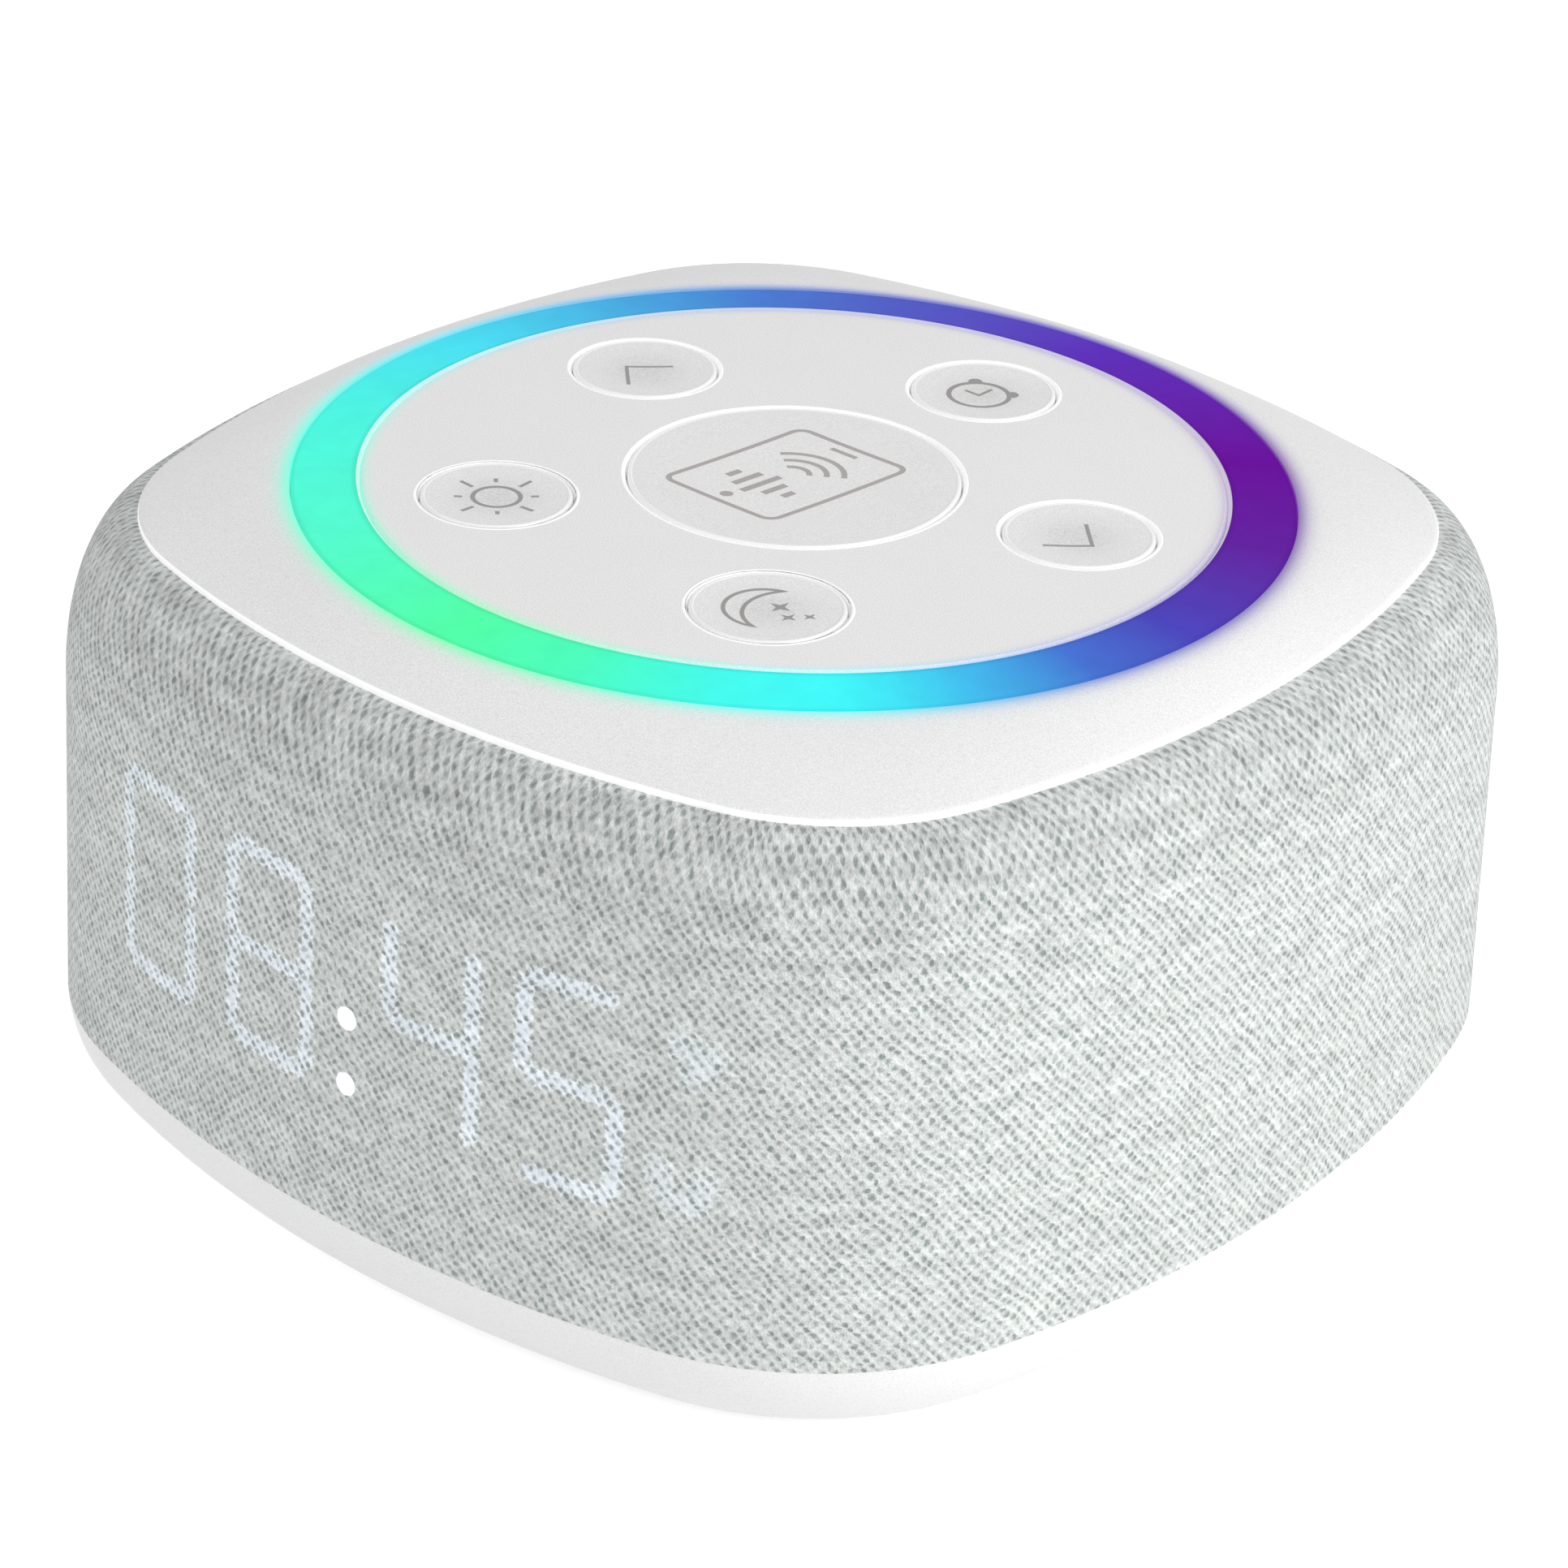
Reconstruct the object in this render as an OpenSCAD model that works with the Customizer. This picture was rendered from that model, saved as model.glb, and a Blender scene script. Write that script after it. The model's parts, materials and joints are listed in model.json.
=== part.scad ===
// Tabletop white noise sound machine with a fabric wrap, a light ring, six buttons and a clock display.
// Millimetres, +Z up. The origin is under the centre, on the surface that the feet stand on.
// The clock faces -Y and the power inlet faces +Y.

/* [Body] */
// Widest width of the body, across the seam between fabric and base
body_w = 111; // [108:0.5:120]
// Radius of the arc of each corner, to the nearest 0.08
corner_r = 28.3; // [26:0.1:32]
// Height of the button face above the table
top_z = 56; // [54:0.5:66]
// Height of the seam between fabric and base
seam_z = 8.5; // [8:0.25:11]
// How far the wall leans in between the seam and the shoulder
wall_draft = 0.9; // [0:0.1:2]
// Height of the rounded shoulder below the fabric's upper edge
shoulder_h = 14.5; // [10:0.1:15]
// How far the shoulder rounds in to the deck
shoulder_w = 6.4; // [6:0.1:8]

/* [Deck] */
// How far the deck's edge lies below the button face
deck_drop = 2.9; // [2:0.1:4]
// Height of the deck's visible edge above the fabric
deck_edge_h = 0.6; // [0.5:0.1:1]
// Thickness of the deck beside the light ring
deck_t = 1.6; // [1.2:0.1:2]
// Width of the deck between the light ring and the middle of each side
deck_band_w = 6.2; // [5.2:0.1:6.7]
// Width of the flat flange under the deck's edge
deck_flange_w = 2.1; // [1.6:0.1:2.6]
// Power that shapes the dome between the light ring and the edge
dome_power = 1.5; // [1.2:0.1:2]

/* [Fabric and grille frame] */
// Thickness of the fabric
fabric_t = 0.9; // [0.6:0.1:1.2]
// How far the fabric tucks in under the deck
fabric_tuck = 1; // [0.6:0.1:1.4]
// Wall of the slotted frame behind the fabric
frame_t = 2; // [1.6:0.1:2.6]
// Sound slots in each side of the frame
slot_count = 9; // [5:1:11]
// Width of a sound slot
slot_w = 3; // [2:0.1:4]
// Distance from slot to slot
slot_pitch = 6; // [5.5:0.1:7]
// Distance of the slots' upper ends below the shoulder
slot_drop = 2; // [0:0.5:8]
// Height of the slots' lower ends
slot_z = 14; // [13:0.5:16]

/* [Light ring] */
// Width of the glowing ring
ring_w = 5.6; // [5:0.1:6]
// How far the ring's outer edge lies below its inner edge
ring_fall = 0.4; // [0:0.1:0.6]
// Depth of the ring's diffuser
ring_t = 3; // [2.4:0.1:3.5]
// Light sources under the ring
led_count = 24; // [12:1:30]
// Side of a light source's package
led_side = 3.4; // [2.8:0.1:3.8]
// Height of a light source's package
led_h = 1.4; // [1:0.1:1.6]
// Wall of the ring carrier
carrier_wall = 1.3; // [1:0.1:1.5]
// Ledge on which the diffuser rests, on each side
carrier_ledge = 0.8; // [0.6:0.1:1]

/* [Buttons] */
// Radius of each small button
key_r = 6.3; // [5.5:0.1:7]
// Distance from a small button to the panel's edge
key_margin = 4.7; // [4:0.1:5.5]
// Distance from the centre button to each small button
key_space = 5; // [4:0.1:7]
// Angle of the first small button, from +X
key_angle = 18; // [0:1:36]
// How far a button travels down
key_travel = 0.5; // [0.3:0.05:0.7]
// Depth of the dish in a button's top
key_dish = 0.25; // [0.1:0.05:0.4]
// Bevel round each button and each hole
key_bevel = 0.3; // [0.15:0.05:0.4]
// Thickness of a button's roof
key_roof = 1.5; // [1.2:0.1:1.7]
// Wall of a button
key_wall = 1.1; // [0.9:0.1:1.3]
// How far a button's flange reaches out under the panel
key_flange_w = 0.9; // [0.7:0.1:1.2]
// Thickness of a button's flange
key_flange_t = 0.9; // [0.7:0.1:1.1]
// Radius of the stem under a button
key_stem_r = 2; // [1.8:0.1:2.4]
// How far the stem reaches below the flange
key_stem_drop = 0.4; // [0.2:0.1:0.6]
// Thickness of the button panel
panel_t = 2; // [1.8:0.1:2.4]

/* [Switches and control board] */
// Side of a push switch's housing
switch_side = 6; // [5:0.5:6]
// Height of a push switch's housing
switch_h = 3.5; // [3:0.1:4]
// How far a switch's plunger stands out of its housing
plunger_out = 1.5; // [1.2:0.1:2]
// Radius of a switch's plunger
plunger_r = 1.75; // [1.5:0.05:1.8]
// How deep a plunger reaches into its housing
plunger_in = 1.6; // [1.2:0.1:1.8]
// Thickness of the printed circuit boards
board_t = 1.6; // [1.2:0.1:2]
// Distance from the centre of each post of the button panel to the panel's edge
post_inset = 6.3; // [5.3:0.1:7.3]
// Radius of each post
post_r = 2.4; // [2:0.1:2.6]

/* [Display] */
// Height of a clock digit
digit_h = 17; // [14:0.5:18]
// Width of a clock digit
digit_w = 8.8; // [7:0.1:9.2]
// Width of a digit's stroke
stroke_w = 1.1; // [0.8:0.1:1.4]
// Gap between strokes
stroke_gap = 0.5; // [0.3:0.1:0.8]
// How far a digit leans to the right over its height
digit_lean = 1; // [0:0.1:2]
// Distance of the digits' centre below the fabric's upper edge
digit_drop = 23.3; // [22.5:0.1:24.5]
// Distance between the centres of the two hour digits
hour_pitch = 14.2; // [13.2:0.1:14.4]
// Distance between the centres of the two minute digits
minute_pitch = 12.7; // [12.2:0.1:13.2]
// Sideways place of the colon
colon_x = 2.1; // [0:0.1:3]
// Distance from the colon to the nearest hour digit's centre
hour_room = 9.2; // [8.2:0.1:9.6]
// Distance from the colon to the nearest minute digit's centre
minute_room = 8.1; // [7.6:0.1:8.9]
// Radius of a colon dot
dot_r = 0.9; // [0.6:0.1:1]
// Sideways place of the two indicator windows
indicator_x = 32.7; // [32.3:0.1:34]
// Radius of an indicator window
indicator_r = 1.6; // [1:0.1:1.8]
// Border of the display block round the digits
display_border = 2.4; // [2:0.1:3]
// How far the display block's back lies behind the front of the body
display_depth = 12; // [11.5:0.25:12.5]
// Lip of the display block behind the frame's window
display_lip = 1.2; // [0.8:0.1:1.6]

/* [Base] */
// How far the base rounds in from the seam to its flat bottom
base_round_w = 6.2; // [6:0.1:8]
// How far the feet lift the base
stand_h = 1; // [0.6:0.1:1.6]
// Wall of the base
base_t = 2.2; // [1.8:0.1:2.6]
// Height of the tongue that stands up inside the frame
tongue_h = 2.5; // [2:0.1:3.5]
// Wall of the tongue
tongue_t = 1.4; // [1:0.1:1.8]
// Distance of the long screws and feet from the ring carrier
long_screw_room = 4; // [3.7:0.1:4.6]
// Radius of a foot pad
foot_r = 6; // [5:0.1:6.4]
// Thickness of a foot pad
foot_t = 2; // [1.8:0.1:2.4]
// Radius of a screw tower on the base
tower_r = 4.6; // [4.5:0.1:5]
// Radius of a screw tower under the deck
deck_tower_r = 3.6; // [3.2:0.1:3.8]

/* [Chassis] */
// Height of the chassis plate that carries the speaker
chassis_z = 30; // [29:0.5:31]
// Thickness of the chassis plate
chassis_t = 2; // [1.6:0.1:2.4]
// Depth of the ribs under the chassis plate
rib_h = 3; // [2:0.5:4]
// Thickness of a rib
rib_t = 1.4; // [1:0.1:2]

/* [Speaker] */
// Radius of the speaker's mounting flange
speaker_r = 29; // [28.5:0.1:30]
// Width of the mounting flange
speaker_flange_w = 5.6; // [5.4:0.1:6]
// Thickness of the mounting flange
speaker_flange_t = 1.2; // [1:0.1:1.6]
// Depth of the basket
basket_h = 13; // [12:0.5:14]
// Sheet thickness of the basket
basket_t = 1; // [0.8:0.1:1.2]
// Radius of the magnet
magnet_r = 16.5; // [15:0.5:18]
// Thickness of the magnet
magnet_h = 7; // [5:0.5:7]
// Thickness of the steel plates on both sides of the magnet
plate_t = 2.5; // [2:0.1:3]
// Radius of the pole in the voice coil
pole_r = 6.6; // [6:0.1:6.8]
// How far the cone moves each way
cone_travel = 1; // [0.5:0.1:1.2]
// Width of the ring between the cone and the basket
surround_w = 4; // [3.6:0.1:5.4]
// Thickness of the gasket under the flange
gasket_t = 0.6; // [0.4:0.1:1]
// Distance of each speaker screw from the mounting flange's edge
speaker_screw_inset = 2.6; // [2.2:0.1:2.8]

/* [Main board] */
// Width of the main board
main_w = 56; // [50:1:56]
// Depth of the main board
main_d = 22; // [20:0.5:24]
// Thickness of the main board
main_t = 1; // [0.8:0.1:1.6]
// Radius of the bosses that carry the main board
main_boss_r = 3; // [2.4:0.1:3.4]
// Height of the ribs under the main board
main_lift = 0.6; // [0.5:0.1:0.8]
// Distance of the main board's rear edge from the widest point of the body's back
main_rear_gap = 6; // [5.5:0.5:7.5]
// Width of the power inlet's shell
inlet_w = 8.94; // [8.9:0.01:9]
// Height of the power inlet's shell
inlet_h = 3.26; // [3.2:0.01:3.3]
// Length of the power inlet's shell
inlet_l = 8.6; // [8:0.1:9]

/* [Screws] */
// Distance of the long screws' heads below the chassis
long_seat_drop = 6; // [4:0.5:8]
// Radius of a long screw's shank
long_screw_r = 1.5; // [1.25:0.05:1.5]
// Length of a long screw under its head
long_screw_l = 14; // [12:0.5:16]
// Radius of a long screw's head
long_head_r = 2.8; // [2.4:0.1:2.9]
// Height of a long screw's head
long_head_h = 2; // [1.5:0.1:2.4]
// Radius of a small screw's shank
small_screw_r = 1.1; // [1:0.05:1.2]
// Length of a small screw under its head
small_screw_l = 5; // [4:0.1:5.2]
// Radius of a small screw's head
small_head_r = 2; // [1.8:0.1:2.1]
// Height of a small screw's head
small_head_h = 1.3; // [1:0.1:1.5]

/* [Clearances] */
// Gap between curved faces that seat on each other
seat_gap = 0.1; // [0.05:0.01:0.15]
// Gap round parts that are dropped into place
drop_gap = 0.4; // [0.2:0.05:0.5]
// Gap between a button and its hole
key_gap = 0.2; // [0.15:0.05:0.35]
// Gap between a button's flange and the panel above it
key_stop_gap = 0.15; // [0.05:0.05:0.3]
// Gap between a plunger and its housing
plunger_gap = 0.1; // [0.05:0.01:0.1]
// Gap between a screw's shank and its hole
screw_gap = 0.05; // [0.03:0.01:0.1]
// Gap on each side of the voice coil
coil_gap = 0.35; // [0.3:0.05:0.4]

/* [Hidden] */
$fn = 96;
EPS = 0.01;
MINI = 0.5;  // roof and floor of a hollow where nothing else sets it

// Outline: four side arcs and four corner arcs, tangent to each other and concentric with every inner
// outline. A side arc ends at the angle of a 7-24-25 triangle, so every arc's centre is a round number.
side_sin = 0.28;
side_cos = 0.96;
arc_share = 1 + side_sin - side_cos;
arc_gap = round(4 * (body_w / 2 - corner_r) / arc_share) / 4;
corner_arc_r = body_w / 2 - arc_share * arc_gap;
side_r = corner_arc_r + arc_gap;
side_centre = body_w / 2 - side_r;
corner_centre = side_sin * arc_gap;
REACH = 200;  // length of the wedges that part the arcs

// Heights
fabric_top_z = top_z - deck_drop - deck_edge_h;
shoulder_z = fabric_top_z - shoulder_h;
slot_h = shoulder_z - slot_drop - slot_z;
digit_z = fabric_top_z - digit_drop;
deck_inset = wall_draft + shoulder_w;
floor_z = stand_h + base_t;
panel_z = top_z - panel_t;
key_flange_z = panel_z - key_stop_gap - key_flange_t;
key_stem_z = key_flange_z - key_stem_drop;
switch_top_z = key_stem_z - plunger_out;
control_top_z = switch_top_z - switch_h;
control_z = control_top_z - board_t;
ring_z = top_z - ring_t;
deck_z = top_z - ring_fall;
chassis_top_z = chassis_z + chassis_t;
speaker_z = chassis_top_z + gasket_t;
speaker_top_z = speaker_z + speaker_flange_t;
basket_z = speaker_z - basket_h;
front_plate_z = basket_z - plate_t;
magnet_z = front_plate_z - magnet_h;
yoke_z = magnet_z - plate_t;
main_z = floor_z + main_lift;
main_top_z = main_z + main_t;
long_seat_z = chassis_z - long_seat_drop;

// Wall layers, measured in from the widest outline
frame_out = fabric_t + seat_gap;
frame_in = frame_out + frame_t;
tongue_out = frame_in + seat_gap;
chassis_inset = frame_in + wall_draft + drop_gap;

// Light ring and its carrier
ring_r = body_w / 2 - deck_inset - deck_band_w;
ring_in_r = ring_r - ring_w;
deck_hole_r = ring_r + seat_gap;
panel_r = ring_in_r - seat_gap;
carrier_out_r = deck_hole_r + carrier_wall;
carrier_in_r = panel_r - carrier_wall;
led_pitch_r = ring_r - ring_w / 2;
ear_pitch_r = carrier_out_r + 2.8;
ear_angle = 25;
ear_r = 2.6;
ear_t = 1.4;
ear_z = control_top_z + small_head_h;
ear_top_z = ear_z + ear_t;
control_r = carrier_out_r - 0.6;
screw_xy = round(10 * (carrier_out_r + long_screw_room) * cos(45)) / 10;

// Buttons
key_pitch_r = panel_r - key_margin - key_r;
mode_r = key_pitch_r - key_r - key_space;
post_pitch_r = panel_r - post_inset;
key_angles = [for (i = [0:4]) key_angle + 72 * i];
post_angles = [for (a = key_angles) a + 36];

// Display: digit centres, and for each digit the strokes that are lit
digit_xs = [
    colon_x - hour_room - hour_pitch, colon_x - hour_room,
    colon_x + minute_room, colon_x + minute_room + minute_pitch
];
colon_zs = [digit_z - 7.4, digit_z - 1.5];
indicator_zs = [digit_z - 4.5, digit_z + 6.4];
display_left = digit_xs[0] - digit_w / 2 - display_border;
display_right = indicator_x + indicator_r + display_border / 2;
display_bottom = digit_z - digit_h / 2 - display_border;
display_top = digit_z + digit_h / 2 + display_border;
display_back_y = -body_w / 2 + display_depth;
display_slab = 30;  // depth of the tools that cut the display out of the wall
lens_t = 1;

// Speaker
basket_r = speaker_r - speaker_flange_w;
cone_r = basket_r - surround_w;
speaker_screw_pitch_r = speaker_r - speaker_screw_inset;
coil_in_r = pole_r + coil_gap;
coil_out_r = coil_in_r + 0.45;
basket_floor_r = magnet_r - 2;
spider_z = basket_z + 2 * basket_t;
cone_z = basket_z + basket_t + cone_travel + MINI + 0.6;
cone_top_z = speaker_top_z - 0.9;
cone_t = 0.5;
coil_z = magnet_z + magnet_h / 2;
roll_r = (basket_r - cone_r) / 2 - 0.2;

// Boards, sockets and leads
main_rear_y = body_w / 2 - main_rear_gap;
main_front_y = main_rear_y - main_d;
main_screw_x = main_w / 2 - 4;
main_screw_y = main_front_y + 4;
capacitor_x = main_w / 2 - 9;
ribbon_w = 12;
ribbon_t = 0.4;
ribbon_y = main_rear_y - 11;
socket_h = 2.4;
socket_d = 4;
lead_r = 0.6;
lead_x = 3;
lead_y = main_front_y + 3.5;
lead_z = speaker_z - 8;
lead_start_y = basket_floor_r + (basket_r - basket_floor_r) * (lead_z - basket_z) / (basket_h - 2) + 0.4;
display_ribbon_x = 7 - main_screw_x;
display_ribbon_w = 6;
display_socket_y = main_front_y + 4.5;
inlet_y = body_w / 2 - 1.3;
inlet_z = main_z + 0.1;
small_hole_r = small_screw_r + screw_gap;
long_hole_r = long_screw_r + screw_gap;
foot_places = [for (x = [-1, 1], y = [-1, 1]) [x * screw_xy, y * screw_xy, 0]];

// ---------- shared geometry ----------

// Distance from the axis to the outline that lies inset inside the widest one, in direction a.
function outline_r(inset, a) =
    let (
        turned = ((a % 90) + 90) % 90,
        q = 45 - abs(turned - 45),
        side = side_r - inset,
        corner = corner_arc_r - inset,
        tangent = atan2(side * side_sin, side_centre + side * side_cos)
    )
    q < tangent
        ? side_centre * cos(q) + sqrt(side * side - pow(side_centre * sin(q), 2))
        : corner_centre * (cos(q) + sin(q))
            + sqrt(corner * corner - pow(corner_centre * (cos(q) - sin(q)), 2));

function reversed(list) = [for (i = [len(list) - 1:-1:0]) list[i]];

// Draws the outline, inset inside the widest one.
module outline(inset) {
    for (turn = [0, 90])
        rotate(turn)
            intersection() {
                translate([side_centre, 0]) circle(side_r - inset);
                translate([-side_centre, 0]) circle(side_r - inset);
                square([2 * body_w, 2 * (side_r - inset) * side_sin], center = true);
            }
    for (x = [-1, 1], y = [-1, 1])
        translate([x * corner_centre, y * corner_centre]) circle(corner_arc_r - inset);
}

// Turns a wall section about an arc's axis. In the section, x is the inset and y the height.
module arc_sweep(arc_r, from, span) {
    rotate_extrude(angle = span, start = from)
        intersection() {
            translate([arc_r, 0]) mirror([1, 0]) children();
            translate([0, -top_z]) square([REACH, 3 * top_z]);
        }
}

module wedge(points) {
    translate([0, 0, -top_z]) linear_extrude(3 * top_z) polygon(points);
}

// Sweeps a wall section round the whole outline. Each arc's share ends on the plane where the arcs touch.
module wall_sweep() {
    for (turn = [0:90:270])
        rotate(turn) {
            translate([side_centre, 0])
                intersection() {
                    arc_sweep(side_r, -30, 60) children();
                    wedge([[0, 0], REACH * [side_cos, -side_sin], REACH * [side_cos, side_sin]]);
                }
            translate([corner_centre, corner_centre])
                intersection() {
                    arc_sweep(corner_arc_r, 0, 90) children();
                    wedge([[0, 0], REACH * [side_cos, side_sin], REACH * [side_sin, side_cos]]);
                }
        }
}

// Path of a wall layer from the seam up over the shoulder, t inside the fabric's face.
function shell_path(t, tuck) = concat(
    [[t, seam_z]],
    [for (a = [0:10:90])
        [wall_draft + t + (shoulder_w - t) * (1 - cos(a)), shoulder_z + (shoulder_h - t) * sin(a)]],
    [[deck_inset + tuck, fabric_top_z - t]]
);

module shell_layer(t0, t1) {
    wall_sweep() polygon(concat(shell_path(t0, fabric_tuck), reversed(shell_path(t1, fabric_tuck))));
}

// Everything from the wall layer's face at t in to the given depth.
module shell_fill(t, depth) {
    wall_sweep() polygon(concat(shell_path(t, fabric_tuck), [[depth, fabric_top_z - t], [depth, seam_z]]));
}

// Path of the base's bowl from the seam down to its flat bottom, t inside its face.
function bowl_path(t, step) = [for (a = [0:step:90])
    [t + (base_round_w - t) * (1 - cos(a)), seam_z - (seam_z - stand_h - t) * sin(a)]];

module tube(outer, inner, h) {
    difference() {
        cylinder(h = h, r = outer);
        translate([0, 0, -1]) cylinder(h = h + 2, r = inner);
    }
}

module screw(shank_r, shank_l, head_r, head_h) {
    translate([0, 0, -head_h]) cylinder(h = head_h, r = head_r);
    cylinder(h = shank_l - shank_r, r = shank_r);
    translate([0, 0, shank_l - shank_r]) cylinder(h = shank_r, r1 = shank_r, r2 = shank_r / 4);
}

module small_screw() {
    screw(small_screw_r, small_screw_l, small_head_r, small_head_h);
}

module rod(a, b, r) {
    v = b - a;
    translate(a) rotate([0, acos(v.z / norm(v)), atan2(v.y, v.x)]) cylinder(h = norm(v), r = r);
}

// A round lead through the given points.
module lead(points, r) {
    for (i = [0:len(points) - 2]) rod(points[i], points[i + 1], r);
    for (i = [1:len(points) - 2]) translate(points[i]) sphere(r);
}

// A flat ribbon through the given points of the YZ plane, centred on x.
module ribbon(points, x, w) {
    translate([x - w / 2, 0, 0])
        rotate([90, 0, 90])
            linear_extrude(w) {
                for (i = [0:len(points) - 2]) {
                    v = points[i + 1] - points[i];
                    translate(points[i])
                        rotate(atan2(v.y, v.x)) translate([0, -ribbon_t / 2]) square([norm(v), ribbon_t]);
                }
                for (i = [1:len(points) - 2]) translate(points[i]) circle(ribbon_t / 2);
            }
}

module slab(low, high) {
    translate(low) cube(high - low);
}

module at_keys() {
    children(0);
    for (a = key_angles) rotate(a) translate([key_pitch_r, 0, 0]) children(0);
}

// ---------- base ----------

module bottom_shell() {
    tongue_z = seam_z + tongue_h;
    color("white")
        difference() {
            union() {
                wall_sweep() polygon(concat(
                    bowl_path(0, 5),
                    [[base_round_w + 3, stand_h], [base_round_w + 3, floor_z]],
                    reversed(bowl_path(base_t, 10)),
                    [[tongue_out + tongue_t, seam_z - tongue_h], [tongue_out + tongue_t, tongue_z],
                     [tongue_out, tongue_z], [tongue_out, seam_z]]
                ));
                translate([0, 0, stand_h]) linear_extrude(base_t) outline(base_round_w + 1);
                for (p = foot_places)
                    translate(p + [0, 0, stand_h + foot_t])
                        cylinder(h = chassis_z - stand_h - foot_t, r = tower_r);
                for (x = [-main_screw_x, main_screw_x])
                    translate([x, main_screw_y, stand_h]) cylinder(h = main_z - stand_h, r = main_boss_r);
                for (x = [-main_w / 2 + 1, main_w / 2 - 2])
                    slab([x, main_front_y + 2, stand_h + 1], [x + 1, main_rear_y - 5, main_z]);
            }
            for (p = foot_places) translate(p) {
                cylinder(h = foot_t, r = foot_r + seat_gap);
                cylinder(h = long_seat_z, r = long_head_r + drop_gap);
                cylinder(h = top_z, r = long_hole_r);
            }
            inlet_opening();
            for (x = [-main_screw_x, main_screw_x])
                translate([x, main_screw_y, stand_h + 0.8]) cylinder(h = floor_z, r = small_hole_r);
        }
}

module inlet_opening() {
    r = inlet_h / 2 + drop_gap;
    translate([0, body_w / 2 + 1, inlet_z + inlet_h / 2])
        rotate([90, 0, 0])
            linear_extrude(10) {
                square([inlet_w - inlet_h, 2 * r], center = true);
                for (x = [-1, 1]) translate([x * (inlet_w - inlet_h) / 2, 0]) circle(r);
            }
}

module foot_pads() {
    color("dimgray")
        for (p = foot_places) translate(p) {
            cylinder(h = 0.4, r1 = foot_r - 0.4, r2 = foot_r);
            translate([0, 0, 0.4]) cylinder(h = foot_t - 0.4, r = foot_r);
        }
}

module long_screws() {
    color("silver")
        for (p = foot_places)
            translate(p + [0, 0, long_seat_z]) screw(long_screw_r, long_screw_l, long_head_r, long_head_h);
}

// ---------- wall ----------

module display_window(gap) {
    slab([display_left - gap, -body_w / 2 - 1, display_bottom - gap],
         [display_right + gap, -body_w / 2 + display_slab, display_top + gap]);
}

module grille_frame() {
    first = -(slot_count - 1) * slot_pitch / 2;
    color("gainsboro")
        difference() {
            shell_layer(frame_out, frame_in);
            for (turn = [-90, 0, 90], i = [0:slot_count - 1])
                rotate(turn)
                    translate([first + i * slot_pitch - slot_w / 2, body_w / 2 - 12, slot_z])
                        cube([slot_w, 14, slot_h]);
            display_window(seat_gap);
        }
}

module fabric_wrap() {
    color("lightgray") shell_layer(0, fabric_t);
}

// ---------- deck ----------

// Closed solid through a loop of rings, each with the same number of points.
module ring_loft(rings) {
    n = len(rings[0]);
    m = len(rings);
    polyhedron(
        points = [for (ring = rings, p = ring) p],
        faces = [for (j = [0:m - 1], i = [0:n - 1])
            let (k = (j + 1) % m, l = (i + 1) % n) each [
                [j * n + i, j * n + l, k * n + l],
                [j * n + i, k * n + l, k * n + i]
            ]]
    );
}

// Ring of a dome at share s of the way from a circle of radius r0 to the outline at the given inset.
function dome_ring(s, r0, inset, high, low, steps = 96) = [for (i = [0:steps - 1])
    let (a = 360 * i / steps, r = r0 + (outline_r(inset, a) - r0) * s)
    [r * cos(a), r * sin(a), high - (high - low) * pow(s, dome_power)]];

module deck_plate() {
    edge_z = top_z - deck_drop;
    low_z = deck_z - deck_t;
    flange_inset = deck_inset + deck_flange_w;
    color("white")
        difference() {
            union() {
                ring_loft(concat(
                    [for (s = [0, 0.2, 0.4, 0.6, 0.75, 0.88, 1])
                        dome_ring(s, deck_hole_r, deck_inset, deck_z, edge_z)],
                    [dome_ring(1, deck_hole_r, deck_inset, deck_z, fabric_top_z)],
                    [for (s = [1, 0.7, 0.35, 0])
                        dome_ring(s, carrier_out_r + seat_gap, flange_inset, low_z, fabric_top_z)],
                    [dome_ring(0, deck_hole_r, deck_inset, low_z, edge_z)]
                ));
                for (p = foot_places)
                    translate(p + [0, 0, chassis_top_z])
                        cylinder(h = panel_z - chassis_top_z, r = deck_tower_r);
                at_ears() cylinder(h = panel_z - ear_top_z - 0.6, r = ear_r);
            }
            for (p = foot_places)
                translate(p + [0, 0, chassis_z])
                    cylinder(h = long_seat_z + long_screw_l - chassis_z + 1, r = long_hole_r);
            at_ears()
                translate([0, 0, -EPS])
                    cylinder(h = small_screw_l - ear_t + 0.2, r = small_hole_r);
        }
}

// ---------- light ring ----------

module at_ears() {
    for (a = [0:90:270])
        rotate(a + ear_angle) translate([ear_pitch_r, 0, ear_top_z]) children();
}

module light_ring() {
    bevel = 0.2;
    color("turquoise")
        rotate_extrude()
            polygon([
                [ring_in_r, ring_z], [ring_r, ring_z], [ring_r, deck_z - bevel], [ring_r - bevel, deck_z],
                [ring_in_r + bevel, top_z], [ring_in_r, top_z - bevel]
            ]);
}

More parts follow.
